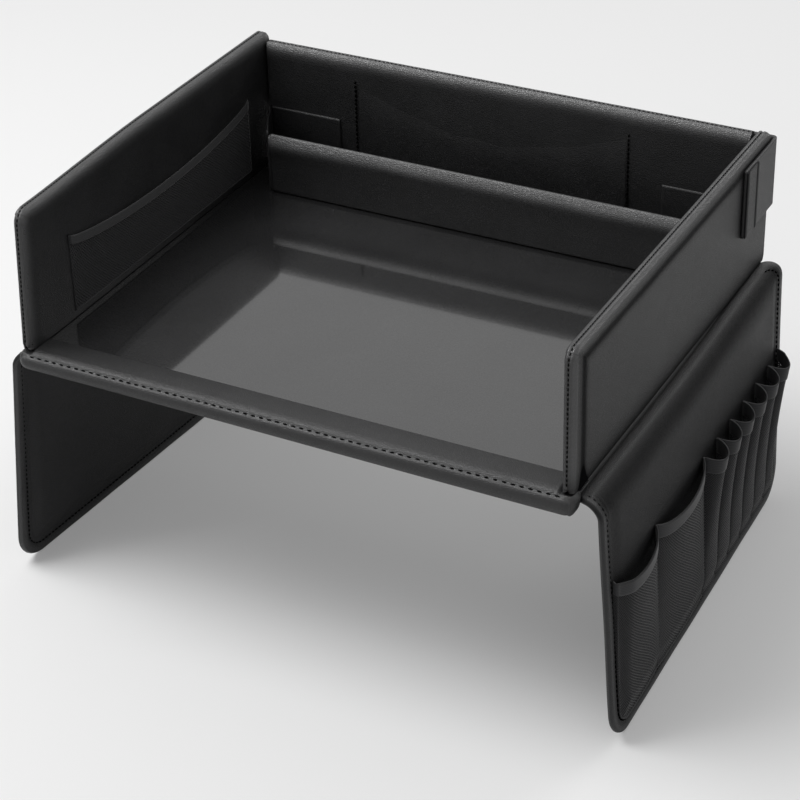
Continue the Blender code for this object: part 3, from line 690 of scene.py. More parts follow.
def add_side_wall(side, sign):
    """One padded side wall."""
    low, high = (wall_low.y, wall_low.z), (wall_high.y, wall_high.z)
    rolls = (FRONT_ROLL, REAR_ROLL, FOOT_ROLL, WALL_ROLL)
    build = padded_panel(low, high, wall_thickness, rolls, WALL_CORNERS, WALL_CELLS)
    wear_and_painted_light = build.verts.layers.float["wear_and_painted_light"]
    for vert in build.verts:
        full = quilt(vert, wall_thickness, sign, HAND_WAVE)
        if vert.co.z * sign > 0:
            # Painted shade on the outer face, darkest at the wall's foot.
            vert[wear_and_painted_light] -= bell(vert.co.y, wall_low.z, FOOT_SHADE)
            near = max(1 - (vert.co.y - wall_low.z) / OUTER_FOOT, 0)
            vert.co.z -= sign * OUTER_TUCK * (1 - math.sqrt(max(1 - near ** 2, 0))) * min(full, 1)
    crease_face(build, sign)
    place = side_place(sign * (wall_outer + wall_inner) / 2)
    build.transform(place)
    settle(build, side)
    name = side + "_wall"
    finish_pad(side + "_side_wall", build, name, [name + part for part in WALL_PARTS])
    add_wall_board(side, name)
    add_wall_stitches(side, name, low, high, place)


def add_wall_board(side, name):
    """The board inside a side wall."""
    low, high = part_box(name + "_board")
    place = side_place((low.x + high.x) / 2)
    size = high.x - low.x
    build = plate((low.y, low.z), (high.y, high.z), size, 0.3 * MM, 3 * MM, (60, 50), place)
    settle(build, side)
    finish_piece(name + "_stiffener", build, board, name, [name + "_board"])


def add_wall_stitches(side, name, low, high, place):
    """The stitches in a side wall's seam, up its front edge and along its top."""
    inset = SEAM_DEPTH - STITCH_LIFT
    path = panel_path(low, high, WALL_CORNERS, inset, 0, place, [(0, -1), (1, 1)])
    outward = []
    for (point, _), (following, _) in zip(path, path[1:] + path[-2:-1]):
        along = (following - point).normalized()
        outward.append((point, Vector((1, 0, 0)).cross(along)))
    rows = bmesh.new()
    made = sew(rows, outward, *WALL_STITCH)
    settle(rows, side)
    finish_piece(side + "_wall_stitches", rows, thread, name)
    print(side, "wall:", made, "stitches")


for side_name, side_sign in SIDES.items():
    add_side_wall(side_name, side_sign)

# %% [markdown]
# ## Back wall
# The back wall is the same kind of panel, standing between the side walls, its top a little below
# theirs. It ends just short of the side walls, so it can fold forward between them.

# %% Back wall
back_low, back_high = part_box("back_wall_seam")
back_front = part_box("back_wall_inner_cover")[0].y
back_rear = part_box("back_wall_outer_cover")[1].y
BACK_CORNERS = (1 * MM, 1 * MM, 1.5 * MM, 1.5 * MM)
END_ROLL = 1.4 * MM
END_GAP = 1 * MM
BACK_DROP = 2.3 * MM


def add_back_wall():
    """The padded back wall with the stitches of its upper seam."""
    end = wall_inner - END_GAP
    low, high = (-end, back_low.z), (end, back_high.z - BACK_DROP)
    rolls = (END_ROLL, END_ROLL, FOOT_ROLL, WALL_ROLL)
    build = padded_panel(low, high, back_rear - back_front, rolls, BACK_CORNERS, WALL_CELLS)
    for vert in build.verts:
        quilt(vert, wall_thickness, 0, HAND_WAVE)
    crease_face(build, -1)
    place = rear_place((back_front + back_rear) / 2)
    build.transform(place)
    finish_pad("rear_wall", build, "back_wall", ["back_wall" + part for part in WALL_PARTS])
    path = panel_path(low, high, BACK_CORNERS, SEAM_DEPTH - STITCH_LIFT, 0, place, [(1, 1)])
    rows = bmesh.new()
    made = sew(rows, [(point, Vector((0, 0, 1))) for point, _ in path], *WALL_STITCH)
    finish_piece("rear_wall_stitches", rows, thread, "back_wall")
    print("back wall:", made, "stitches")


add_back_wall()

# %% [markdown]
# ## Tablet pocket
# A thin leather sheet is sewn to the back wall's inside by two upright seams, and its upper edge
# sags a little between them. It could be cut from a curved outline, but a grid whose upper rows are
# pulled down in a curve keeps its faces even. The sheet lies close to the wall, with its rim tucked
# against it, so the edge hardly shows. Other sheets use the same helper: a unit grid that a
# function of two shares moves to its place, while a UV map keeps the flat cloth's metres.

# %% Tablet pocket
def flat_sheet(cells, place_for, size):
    """An open grid sheet moved to its place, with its flat size in metres as the UV map flat."""
    build = bmesh.new()
    bmesh.ops.create_grid(build, x_segments=cells[0], y_segments=cells[1], size=0.5)
    set_flat_map(build, (0.5, 0.5), size)
    for vert in build.verts:
        vert.co = place_for(vert.co.x + 0.5, vert.co.y + 0.5)
    return build


def set_flat_map(build, shift=(0, 0), scale=(1, 1)):
    """Keep each point's plan place, shifted and then scaled to metres, as the UV map flat."""
    layer = build.loops.layers.uv.new("flat")
    for face in build.faces:
        for loop in face.loops:
            place = loop.vert.co
            loop[layer].uv = ((place.x + shift[0]) * scale[0], (place.y + shift[1]) * scale[1])


TABLET_SHEET = 0.4 * MM
tablet_low, tablet_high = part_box("tablet_pocket")
TABLET_SAG = 25 * MM
TABLET_STITCH = (3.4 * MM, 2.7 * MM)
TABLET_THREAD = {"left": 1.8 * MM, "right": 1.1 * MM}
TABLET_TUCK = 0.9 * MM


def add_tablet_pocket():
    """The tablet pocket's thin sheet, sagging along its upper edge, close to the wall."""
    width = tablet_high.x - tablet_low.x
    rise = tablet_high.z - tablet_low.z
    face = tablet_high.y - TABLET_SHEET / 2

    def place_for(across, up):
        sag = TABLET_SAG * math.sin(math.pi * across)
        tuck = TABLET_TUCK * max(1 - (1 - up) / 0.35, 0) ** 2
        return (tablet_low.x + width * across, face + tuck, tablet_low.z + (rise - sag) * up)

    build = flat_sheet((72, 36), place_for, (width, rise))
    piece = finish_piece("tablet_sleeve", build, leather, "back_wall", ["tablet_pocket"])
    thicken(piece, TABLET_SHEET)
    rows = bmesh.new()
    y = tablet_high.y - TABLET_SHEET - 0.1 * MM
    for x, side in ((tablet_low.x, "left"), (tablet_high.x, "right")):
        spots = [Vector((x, y, z)) for z in (tablet_low.z, tablet_high.z)]
        path = [(spot, Vector((0, -1, 0))) for spot in spots]
        sew(rows, path, *TABLET_STITCH, TABLET_THREAD[side])
    finish_piece("tablet_sleeve_stitches", rows, thread, "back_wall")


add_tablet_pocket()

# %% [markdown]
# ## Floor, film and lining
# The floor panel is a wide flat pad with a lining underneath and the clear film on top. The film is
# kept perfectly flat, because the mirror image of the walls in it is straight. Each layer is the
# same panel helper with a very narrow roll.

# %% Floor panel
def add_layer(name, low, high, roll, material, nodes, corner):
    """One flat layer of the floor, from its low corner to its high corner."""
    place = Matrix.Translation((0, 0, (low[2] + high[2]) / 2))
    build = plate(low, high, high[2] - low[2], roll, corner, (120, 100), place)
    set_flat_map(build)
    return finish_piece(name, build, material, "tray", nodes)


under_low, under_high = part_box("floor_under_cover")
PANEL_INSET = 2 * MM
panel_low = (floor_low.x + PANEL_INSET, floor_low.y, under_high.z)
panel_high = (floor_high.x - PANEL_INSET, floor_high.y, floor_high.z)
floor_nodes = ["floor_top_cover", "floor_foam"]
floor_pad = add_layer(
    "tray_panel", panel_low, panel_high, 2.5 * MM, leather, floor_nodes, 6 * MM)
lining_high = (under_high.x, under_high.y, under_high.z - 0.1 * MM)
lining_nodes = ["floor_under_cover"]
lining_piece = add_layer(
    "tray_lining", under_low, lining_high, 0.5 * MM, lining, lining_nodes, 6 * MM)
add_layer("clear_film", film_low, film_high, 0.25 * MM, film, ["floor_film"], 0.6 * MM)

# %% [markdown]
# ## Front hem
# The film's front edge is caught under a padded hem. It is a soft roll along the front with a row
# of stitches behind it, then a flatter band whose thin lip lies over the film. The ends are round,
# and the roll sags a few millimetres below the floor panel, more at the right end.
# The shape starts as a pad of unit height, and two curves across the hem then say how high its top
# and how low its underside lies at each distance from the front.

# %% Front hem
HEM_ROLL = 9 * MM
HEM_END = 6 * MM
HEM_SEAM = 2.8 * MM
HEM_LIP = hem_high.y - hem_low.y + 5 * MM
HEM_TOP = hem_high.z + 0.3 * MM
HEM_STEP = 12.2 * MM
HEM_SAG = (2.4 * MM, 5.4 * MM)
HEM_MIDDLE = hem_low.z + 0.42 * (hem_high.z - hem_low.z)
HEM_CORNERS = (8 * MM, 8 * MM, 1 * MM, 1 * MM)
HEM_STITCH = (5.8 * MM, 3.5 * MM, 1.2 * MM)
HEM_STITCH_END = 9 * MM


def hem_top(back):
    """Height of the hem's upper face at a distance behind its front edge."""
    swell = 0.4 * MM * math.sin(math.pi * min(max((back - HEM_SEAM) / (HEM_LIP - HEM_SEAM), 0), 1))
    fall = max(back - 0.55 * HEM_LIP, 0) / (0.45 * HEM_LIP)
    return HEM_TOP + swell - (HEM_TOP - film_high.z - 0.35 * MM) * fall ** 1.5


def hem_face(back, share):
    """Height of the hem's rolled face, where share says how far the roll has risen."""
    groove = 0.8 * MM * bell(back, HEM_SEAM, 0.9 * MM)
    return HEM_MIDDLE + share * (hem_top(back) - HEM_MIDDLE) - groove * min(share * 2, 1)


def hem_foot(x):
    """Height of the roll's lowest line, which sags below the floor panel."""
    share = smooth((x - hem_low.x) / (hem_high.x - hem_low.x))
    return hem_low.z - HEM_SAG[0] - (HEM_SAG[1] - HEM_SAG[0]) * share


def hem_under(x, back):
    """Height of the hem's underside: low in front of the floor panel, then just over the film."""
    step = min(max((back - HEM_STEP + 0.6 * MM) / (0.6 * MM), 0), 1)
    return hem_foot(x) + (film_high.z + 0.05 * MM - hem_foot(x)) * step


def add_hem():
    """The hem with its stitches and its rounded ends."""
    low, high = (hem_low.x, hem_low.y), (hem_high.x, hem_low.y + HEM_LIP)
    rolls = (HEM_END, HEM_END, HEM_ROLL, FOOT_ROLL)
    build = padded_panel(low, high, 2.0, rolls, HEM_CORNERS, (400, 84), valley=0)
    wear_and_painted_light = build.verts.layers.float["wear_and_painted_light"]
    for vert in build.verts:
        # The hem's rolls keep only a weak wear and painted highlight.
        vert[wear_and_painted_light] *= 0.3
        back = vert.co.y - hem_low.y
        lower = hem_under(vert.co.x, back)
        share = vert.co.z
        if share > 0 and lower < HEM_MIDDLE:
            vert.co.z = hem_face(back, share)
        elif share > 0:
            vert.co.z = lower + share * (hem_top(back) - lower)
        else:
            vert.co.z = max(HEM_MIDDLE + share * (HEM_MIDDLE - hem_foot(vert.co.x)), lower)
        if abs(vert.co.x) > wall_inner + 0.5 * MM and vert.co.y > wall_low.y - 0.3 * MM:
            vert.co.z = min(vert.co.z, floor_high.z - (0.1 if share > 0 else 1.1) * MM)
    finish_pad("hem_roll", build, "tray", ["front_hem"])
    rows = bmesh.new()
    y = hem_low.y + HEM_SEAM
    z = hem_face(HEM_SEAM, rise_share(HEM_SEAM, HEM_ROLL)) + 0.15 * MM
    facing = Vector((0, -0.6, 0.8))
    reach = (hem_low.x + HEM_STITCH_END, hem_high.x - HEM_STITCH_END)
    made = sew(rows, [(Vector((x, y, z)), facing) for x in reach], *HEM_STITCH)
    finish_piece("hem_stitches", rows, thread, "tray")
    print("hem:", made, "stitches")


add_hem()

# %% [markdown]
# ## Rear pocket
# A padded divider closes the rear pocket. It is a small panel of its own, with a fuller roll along
# its top than at its foot, so the same helper makes it, and a hump is added to its front face.

# %% Divider
divider_low, divider_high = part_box("pocket_front_cover")
DIVIDER_ROLLS = (4 * MM, 4 * MM, 2.5 * MM, 15 * MM)
DIVIDER_DROP = 1.8 * MM
DIVIDER_SWELL = 1.6 * MM
DIVIDER_WAVE = 0.22 * MM


def add_divider():
    """The padded divider in front of the rear pocket."""
    thickness = divider_high.y - divider_low.y
    low, high = (divider_low.x, divider_low.z), (divider_high.x, divider_high.z - DIVIDER_DROP)
    corners = (3 * MM,) * 4
    build = padded_panel(low, high, thickness, DIVIDER_ROLLS, corners, (190, 64), valley=0.2 * MM)
    for vert in build.verts:
        full = quilt(vert, thickness, 0.3, DIVIDER_WAVE)
        if vert.co.z > 0:
            vert.co.z += DIVIDER_SWELL * bell(high[1] - vert.co.y, 9 * MM, 7 * MM) * min(full, 1)
    build.transform(rear_place((divider_low.y + divider_high.y) / 2))
    finish_pad("pocket_divider", build, "pocket_front", ["pocket_front_cover"])


add_divider()

# %% [markdown]
# ## Gussets
# From each end of the divider a leather gusset folds back to the corner and then lies flat on the
# back wall, where it is sewn down. It could be one bent sheet, but the part that crosses from
# divider to wall has to crumple when the back wall folds, so it is a piece of its own that rides
# on the divider, while the flat part rides on the back wall. The flat part ends above the wall's
# foot, so it clears the film there.

# %% Gussets
GUSSET_SHEET = 1.2 * MM
FLANGE_FOOT = 8 * MM


def path_sheet(points, low, high, cells):
    """A grid sheet along a path of plan points between two heights, and the path's length."""
    lengths = [0.0]
    for first, second in zip(points, points[1:]):
        lengths.append(lengths[-1] + (Vector(second) - Vector(first)).length)

    def place_for(across, up):
        wanted = across * lengths[-1]
        for index in range(len(points) - 1):
            if wanted <= lengths[index + 1] or index == len(points) - 2:
                share = (wanted - lengths[index]) / (lengths[index + 1] - lengths[index])
                spot = Vector(points[index]).lerp(Vector(points[index + 1]), min(share, 1))
                return (spot.x, spot.y, low + (high - low) * up)

    return flat_sheet(cells, place_for, (lengths[-1], high - low)), lengths[-1]


def arc(centre, radius, start, end, steps):
    """Plan points of an arc, its angles in degrees."""
    angles = [math.radians(start + (end - start) * step / steps) for step in range(steps + 1)]
    return [(centre[0] + radius * math.cos(a), centre[1] + radius * math.sin(a)) for a in angles]


def add_gusset(side, sign):
    """One gusset: the fold that crosses the pocket's end, and its flange on the back wall."""
    low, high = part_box(side + "_gusset")
    outer = max(abs(low.x), abs(high.x))
    inner = min(abs(low.x), abs(high.x)) + 4.5 * MM
    start = (sign * (divider_high.x + 0.2 * MM), divider_low.y + 2.2 * MM)
    corner = (sign * (outer - 0.4 * MM), high.y - 1.6 * MM)
    middle = ((start[0] + corner[0]) / 2 + sign * 1.2 * MM, (start[1] + corner[1]) / 2)
    third = ((start[0] * 2 + middle[0]) / 3, (start[1] * 2 + middle[1]) / 3)
    build, length = path_sheet([start, third, middle, corner], low.z, high.z, (30, 24))
    node = side + "_gusset"
    crossing = finish_piece(node + "_fold", build, leather, "pocket_front", [node])
    thicken(crossing, GUSSET_SHEET)
    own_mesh(crossing)
    face = high.y - GUSSET_SHEET / 2
    foot = low.z + FLANGE_FOOT
    build, length = path_sheet([(corner[0], face), (sign * inner, face)], foot, high.z, (40, 24))
    lying = finish_piece(node + "_flange", build, leather, "back_wall", [node])
    thicken(lying, GUSSET_SHEET)


for side_name, side_sign in SIDES.items():
    add_gusset(side_name, side_sign)

# %% [markdown]
# ## Nets
# The pockets are a knitted net with small staggered holes. A net could be only a pattern in the
# material, but close up its holes should be real. A grid turned by half a right angle gives
# staggered diamonds, each face is inset, and the middles are deleted. The flat net is trimmed to
# its width and length with bisecting planes, and then every point moves to its place on the bulged
# pocket.

# %% Net
NET_SHEET = 0.6 * MM
NET_STRAND = 0.8 * MM


def net_sheet(size, pitch, place_for):
    """A flat net of that size with staggered holes, then moved to its place by place_for."""
    build = bmesh.new()
    side = pitch / math.sqrt(2)
    reach = (size[0] + size[1]) / math.sqrt(2) / 2 + side
    count = math.ceil(2 * reach / side)
    turn = Matrix.Rotation(math.pi / 4, 4, "Z")
    reach = count * side / 2
    bmesh.ops.create_grid(build, x_segments=count, y_segments=count, size=reach, matrix=turn)
    for axis in (0, 1):
        for sign in (1, -1):
            normal = Vector((0, 0, 0))
            normal[axis] = sign
            bmesh.ops.bisect_plane(
                build, geom=build.verts[:] + build.edges[:] + build.faces[:], dist=1e-7,
                plane_co=normal * size[axis] / 2, plane_no=normal, clear_outer=True,
            )
    least = side ** 2 * 0.9
    whole = [face for face in build.faces if len(face.verts) == 4 and face.calc_area() > least]
    bmesh.ops.inset_individual(build, faces=whole, thickness=NET_STRAND / 2, depth=0)
    bmesh.ops.delete(build, geom=whole, context="FACES_ONLY")
    set_flat_map(build, (size[0] / 2, size[1] / 2))
    for vert in build.verts:
        vert.co = place_for(vert.co.x / size[0] + 0.5, vert.co.y / size[1] + 0.5)
    return build


def net_piece(name, size, pitch, place_for, body, nodes):
    """A net with its thickness, riding on a body."""
    build = net_sheet(size, pitch, place_for)
    piece = finish_piece(name, build, net_cloth, body, nodes)
    return thicken(piece, NET_SHEET)


print("net helper ready")

# %% [markdown]
# ## Net pocket inside the left wall
# A flat net is sewn to the inside of the left wall, with an elastic band along its top that sags
# between its ends. Band and net lie close to the wall, bowing off it by about half a millimetre in
# the middle, so the folding back wall's end passes them.

# %% Left net pocket
mesh_low, mesh_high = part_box("left_mesh_pocket")
band_low, band_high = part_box("left_pocket_band")
BAND_RISE = 6.5 * MM
BAND_SAG = 13.5 * MM
SAG_POWER = 0.6
NET_GAP = 0.3 * MM
NET_BOW = 0.6 * MM


def mesh_top(across):
    """Height of the band's upper edge along the left wall, sagging between its ends."""
    return band_high.z - BAND_SAG * math.sin(math.pi * across) ** SAG_POWER


def add_left_pocket():
    """The net and its elastic band inside the left wall."""
    length = mesh_high.y - mesh_low.y

    def bow(across, up):
        return NET_GAP - wall_inner + NET_BOW * math.sin(math.pi * across) * up

    def net_place(across, up):
        top = mesh_top(across) - BAND_RISE * 0.6
        return (bow(across, up), mesh_low.y + length * across, mesh_low.z + (top - mesh_low.z) * up)

    def band_place(across, up):
        height = mesh_top(across) - BAND_RISE * (1 - up)
        return (bow(across, 1) + 0.5 * MM, mesh_low.y + length * across, height)

    size = (length, mesh_high.z - mesh_low.z)
    net = net_piece("left_net", size, 2.6 * MM, net_place, "left_wall", ["left_mesh_pocket"])
    band = flat_sheet((96, 6), band_place, (length, BAND_RISE))
    nodes = ["left_pocket_band"]
    piece = finish_piece("left_net_band", band, elastic, "left_wall", nodes)
    thicken(piece, 0.9 * MM)


add_left_pocket()

# %% [markdown]
# ## Wings
# Each wing is a bound panel that hangs from the floor panel's side. The cover runs on over the
# panel's edge, so fold and wing are one piece of leather: it leaves the edge flat, rolls over and
# hangs. A flat pad is made first, with a raised binding round its free edges, and then every point
# is carried to a curve that has the fold in it. The fold's crest climbs a little towards the rear
# and carries a painted highlight, with painted shade where the fold leaves the panel and below the
# crest. The wing turns about its fold, so this piece bends between two bodies.

# %% Wing shape
wing_low, wing_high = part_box("right_wing_seam")
wing_joint = next(joint for joint in frame["joints"] if joint["name"] == "right_wing_swing")
WING_X, _, WING_TOP = wing_joint["pos_m"]
WING_LEAN = math.radians(3)
WING_HALF = 3.5 * MM
FOLD_START = (floor_high.x - 4 * MM, 2.6 * MM)
FOLD_FLAT = 2.6 * MM
FOLD_FOOT = -10 * MM
EDGE_HALF = 1.3 * MM
BINDING = 10.5 * MM
BINDING_SEAM = 8.5 * MM
TWIST_TOP = 1.5 * MM
TWIST_FOOT = {"left": 8.5 * MM, "right": 3 * MM}
FOLD_RISE = 7 * MM
RISE_FADE = 45 * MM
CREST_DOWN = 6.5 * MM


def wing_x(z):
    """Where the leaning wing's middle is at a height, before it is twisted."""
    return WING_X + (WING_TOP - z) * math.tan(WING_LEAN)


def wing_curve():
    """Section of the wing's middle, from the floor panel's edge over the fold and down."""
    points = [Vector(FOLD_START)]
    centre = Vector((FOLD_START[0] + FOLD_FLAT, FOLD_FOOT))
    reach = (wing_x(FOLD_FOOT) - centre.x, FOLD_START[1] - FOLD_FOOT)
    for step in range(17):
        angle = math.pi / 2 * (1 - step / 16)
        points.append(centre + Vector((reach[0] * math.cos(angle), reach[1] * math.sin(angle))))
    points.append(Vector((wing_x(wing_low.z), wing_low.z)))
    return points


WING_POINTS = wing_curve()
WING_LENGTHS = [0.0]
for first_point, second_point in zip(WING_POINTS, WING_POINTS[1:]):
    WING_LENGTHS.append(WING_LENGTHS[-1] + (second_point - first_point).length)
WING_LENGTH = WING_LENGTHS[-1]


def wing_tangent(index):
    """Direction of the section at one of its points."""
    before = WING_POINTS[max(index - 1, 0)]
    after = WING_POINTS[min(index + 1, len(WING_POINTS) - 1)]
    return (after - before).normalized()


def on_wing(down, lift):
    """Section place at a distance down the wing's curve and lifted off its middle."""
    down = min(max(down, 0), WING_LENGTH)
    index = 0
    while index < len(WING_LENGTHS) - 2 and down > WING_LENGTHS[index + 1]:
        index += 1
    share = (down - WING_LENGTHS[index]) / (WING_LENGTHS[index + 1] - WING_LENGTHS[index])
    spot = WING_POINTS[index].lerp(WING_POINTS[index + 1], share)
    along = wing_tangent(index).lerp(wing_tangent(index + 1), share).normalized()
    outward = Vector((-along.y, along.x))
    return spot + outward * lift


def hang(point, side, sign):
    """The slow twist of a hanging wing: its front swings out and its rear in, most at the foot."""
    depth = min(max((WING_TOP - point.z) / (WING_TOP - wing_low.z), 0), 1)
    eased = smooth((FOLD_START[1] - point.z) / (FOLD_START[1] - FOLD_FOOT))
    along = (point.y - (wing_low.y + wing_high.y) / 2) / ((wing_high.y - wing_low.y) / 2)
    swing = (TWIST_TOP * eased + TWIST_FOOT[side] * depth) * along
    below = smooth((FOLD_START[1] - point.z) / RISE_FADE)
    rise = FOLD_RISE * smooth((along + 0.2) / 1.2) * (1 - below)
    return Vector((point.x - sign * swing, point.y, point.z + rise))


print("wing section", round(WING_LENGTH / MM, 1), "mm long")

# %% [markdown]
# A wing's thickness could be shaped by hand, but here it follows from one distance, how far a point
# lies from the bound edge. The binding is a thin raised strip, a groove for the stitches runs
# beside it, and the panel swells behind that, though not at the fold, where the leather has nothing
# inside. So the flat pad first carries that distance as its height.

# %% Wings
WING_CORNERS = (24 * MM, 24 * MM, 22 * MM, 5 * MM)
WING_STITCH = (3.8 * MM, 2.6 * MM, 1.2 * MM)
WING_PARTS = ("_outer_cover", "_inner_cover", "_seam", "_board", "_fold")


def wing_thickness(distance, down):
    """Half the wing's thickness at a distance from its bound edge and down its curve."""
    binding = EDGE_HALF * rise_share(distance, 1.3 * MM)
    swell = smooth((distance - BINDING) / (14 * MM)) * smooth((down - 8 * MM) / (22 * MM))
    panel = (WING_HALF - EDGE_HALF) * swell
    step = 0.8 * MM / (1 + math.exp((distance - BINDING) / (0.3 * MM)))
    groove = 0.7 * MM * bell(distance, BINDING_SEAM, 1.1 * MM)
    return max(binding + panel + (step - groove) * rise_share(distance, 2 * MM), 0)


def add_wing(side, sign):
    """One wing with its fold, bound edge and stitches.

    The flat pad's height is first its distance from the rim, from which its thickness then follows.
    """
    low, high = (wing_low.y, 0.0), (wing_high.y, WING_LENGTH)
    rolls = (20 * MM, 20 * MM, 20 * MM, 2 * MM)
    build = padded_panel(low, high, 2.0, rolls, WING_CORNERS, (200, 150), valley=0, shape=float)
    wear_and_painted_light = build.verts.layers.float["wear_and_painted_light"]
    for vert in build.verts:
        down = WING_LENGTH - vert.co.y
        # Wear and painted highlight on the binding, and a painted highlight along the fold's crest.
        crest = 0.5 * bell(down, CREST_DOWN, 1.8 * MM)
        vert[wear_and_painted_light] = max(bell(abs(vert.co.z), 2.5 * MM, 2.5 * MM), crest)
        # Painted shade where the fold leaves the floor panel and below the crest.
        vert[wear_and_painted_light] -= 1.2 * bell(down, 0, 4 * MM) + 0.6 * bell(down, 15 * MM, 6.5 * MM)
        # Painted light: the wing's inner face is made lighter and glossier.
        if vert.co.z < 0:
            vert[wear_and_painted_light] += 0.55
        half = wing_thickness(abs(vert.co.z), down)
        section = on_wing(down, math.copysign(half, vert.co.z) if vert.co.z else 0)
        bowed = wave((vert.co.x, down + sign), 0.25 * MM) * min(half / WING_HALF, 1)
        vert.co = hang(Vector((sign * (section.x + bowed), vert.co.x, section.y)), side, sign)
    bmesh.ops.recalc_face_normals(build, faces=build.faces)
    piece = make_object(side + "_hanging_wing", build, dull_shaded_wing_leather)
    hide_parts(*[side + "_wing" + part for part in WING_PARTS])
    blend_wing(piece, side, sign)
    add_wing_stitches(side, sign)


def blend_wing(piece, side, sign):
    """Bend a wing piece between the floor panel and the wing, across the fold."""
    start = (sign * (FOLD_START[0] + 1.2 * MM), 0, FOLD_START[1] + 1 * MM)
    end = (sign * (WING_X + 1 * MM), 0, -12 * MM)
    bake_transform(piece, "tray", side + "_wing", start=start, end=end)


def wing_rim(inset):
    """Points of the flat wing's rim, inset from it, from the fold's rear round to its front."""
    ends = ((wing_low.y, 0), (wing_high.y, WING_LENGTH))
    turns = (
        (1, 1, WING_CORNERS[2], 90, 0), (1, 0, WING_CORNERS[1], 0, -90),
        (0, 0, WING_CORNERS[0], -90, -180), (0, 1, WING_CORNERS[3], 180, 100),
    )
    points = []
    for across, up, radius, start, end in turns:
        signs = (-1 if across else 1, -1 if up else 1)
        centre = (ends[across][0] + signs[0] * radius, ends[up][1] + signs[1] * radius)
        points += [Vector(spot) for spot in arc(centre, max(radius - inset, 0), start, end, 12)]
    return points


def add_wing_stitches(side, sign):
    """Stitches along the bound edges, on both faces."""
    rim = wing_rim(BINDING_SEAM)
    spots = []
    for first, second in zip(rim, rim[1:]):
        pieces = max(int((second - first).length / (2 * MM)), 1)
        spots += [first.lerp(second, step / pieces) for step in range(pieces)]
    rows = bmesh.new()
    made = 0
    for face in (1, -1):
        placed = []
        for spot in spots:
            down = WING_LENGTH - spot.y
            half = wing_thickness(BINDING_SEAM, down)
            places = []
            for lift in (0.45 * MM, 1.2 * MM):
                section = on_wing(down, face * (half + lift))
                places.append(hang(Vector((sign * section.x, spot.x, section.y)), side, sign))
            placed.append((places[0], (places[1] - places[0]).normalized()))
        made += sew(rows, placed, *WING_STITCH)
    stitches = make_object(side + "_wing_stitches", rows, thread)
    blend_wing(stitches, side, sign)
    print(side, "wing:", made, "stitches")


for side_name, side_sign in SIDES.items():
    add_wing(side_name, side_sign)

# %% [markdown]
# ## Pockets on the right wing
# Two wide net pockets and six narrow sleeves for pens are sewn to the outside of the right wing.
# Their upper edges stand off the wing: a wide pocket's elastic band sags in the middle, and a
# sleeve's mouth is nearly half round. All of them use one shape, a sheet that bulges between two
# upright seams, more at its mouth than at its foot, and follows the wing's slow twist.

# %% Pocket shape
def foot_at(y):
    """Height where a pocket's foot meets the binding, following the wing's round lower corners."""
    margin = NET_CORNER + NET_INSET
    past = max(wing_low.y + margin - y, y - (wing_high.y - margin), 0)
    lift = NET_CORNER - math.sqrt(max(NET_CORNER ** 2 - past ** 2, 0))
    return wing_low.z + NET_INSET + lift


def bulged(span, part, bulges, dip, fullness):
    """Place on a bulging sheet for a share across it and a share up it.

    part is the reach of the sheet between the pocket's foot (0) and its rim (1).
    """
    middle, half = (span[0] + span[1]) / 2, (span[1] - span[0]) / 2

    def place_for(across, up):
        height = part[0] + (part[1] - part[0]) * up
        round_share = max(math.sin(math.pi * across), 0) ** fullness
        bulge = bulges[0] + (bulges[1] - bulges[0]) * height ** 1.8
        y = middle - half * math.cos(math.pi * across) * 0.5 + half * (2 * across - 1) * 0.5
        y = max(y, wing_low.y + NET_INSET)
        foot = foot_at(y)
        z = foot + (RIM - foot) * height - dip * height * math.sin(math.pi * across)
        return hang(on_face(bulges[2] + bulge * round_share, y, z), "right", 1)

    return place_for


def on_face(lift, y, z):
    """Point lifted off the right wing's leaning face, at a height measured along it."""
    outward = Vector((math.cos(WING_LEAN), 0, math.sin(WING_LEAN)))
    along = Vector((math.sin(WING_LEAN), 0, -math.cos(WING_LEAN)))
    inside = min(y - wing_low.y, wing_high.y - y, z - wing_low.z)
    half = wing_thickness(inside, WING_LENGTH)
    return Vector((WING_X, y, WING_TOP)) + along * (WING_TOP - z) + outward * (half + lift)


def span_of(node):
    """A node's reach along the wing."""
    low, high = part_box(node)
    return low.y, high.y


NET_INSET = 9 * MM
NET_CORNER = 15 * MM
POCKET_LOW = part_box("front_net_pocket")[0].z
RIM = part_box("front_pocket_band")[1].z
print("pocket rims", round(RIM / MM, 1), "mm, feet", round(POCKET_LOW / MM, 1), "mm")

# %% [markdown]
# A wide pocket and a pen sleeve differ only in their measures: how much wider the cloth is than its
# place, how far it stands off at its foot and mouth, how deep its rim dips, how round it is, and
# how high and thick its band is. So one function makes both from two small tables.

# %% Wide pockets and sleeves
WIDE_POCKET = {
    "slack": 1.06, "foot": 0.8 * MM, "mouth": 8 * MM, "dip": 6.5 * MM, "fullness": 0.9,
    "pitch": 2.3 * MM, "band": 10 * MM, "band_lift": 0.9 * MM, "band_sheet": 1.2 * MM, "cells": 48,
}
SLEEVE = {
    "slack": 1.3, "foot": 1.2 * MM, "mouth": 12 * MM, "dip": 4.5 * MM, "fullness": 0.7,
    "pitch": 2.0 * MM, "band": 11 * MM, "band_lift": 0.8 * MM, "band_sheet": 1.0 * MM, "cells": 32,
}
NET_LIFT = 0.3 * MM
SLEEVES = range(1, 7)
SEAM_GAP = 0.2 * MM
POCKET_STITCH = (2.9 * MM, 1.9 * MM, 1.0 * MM)


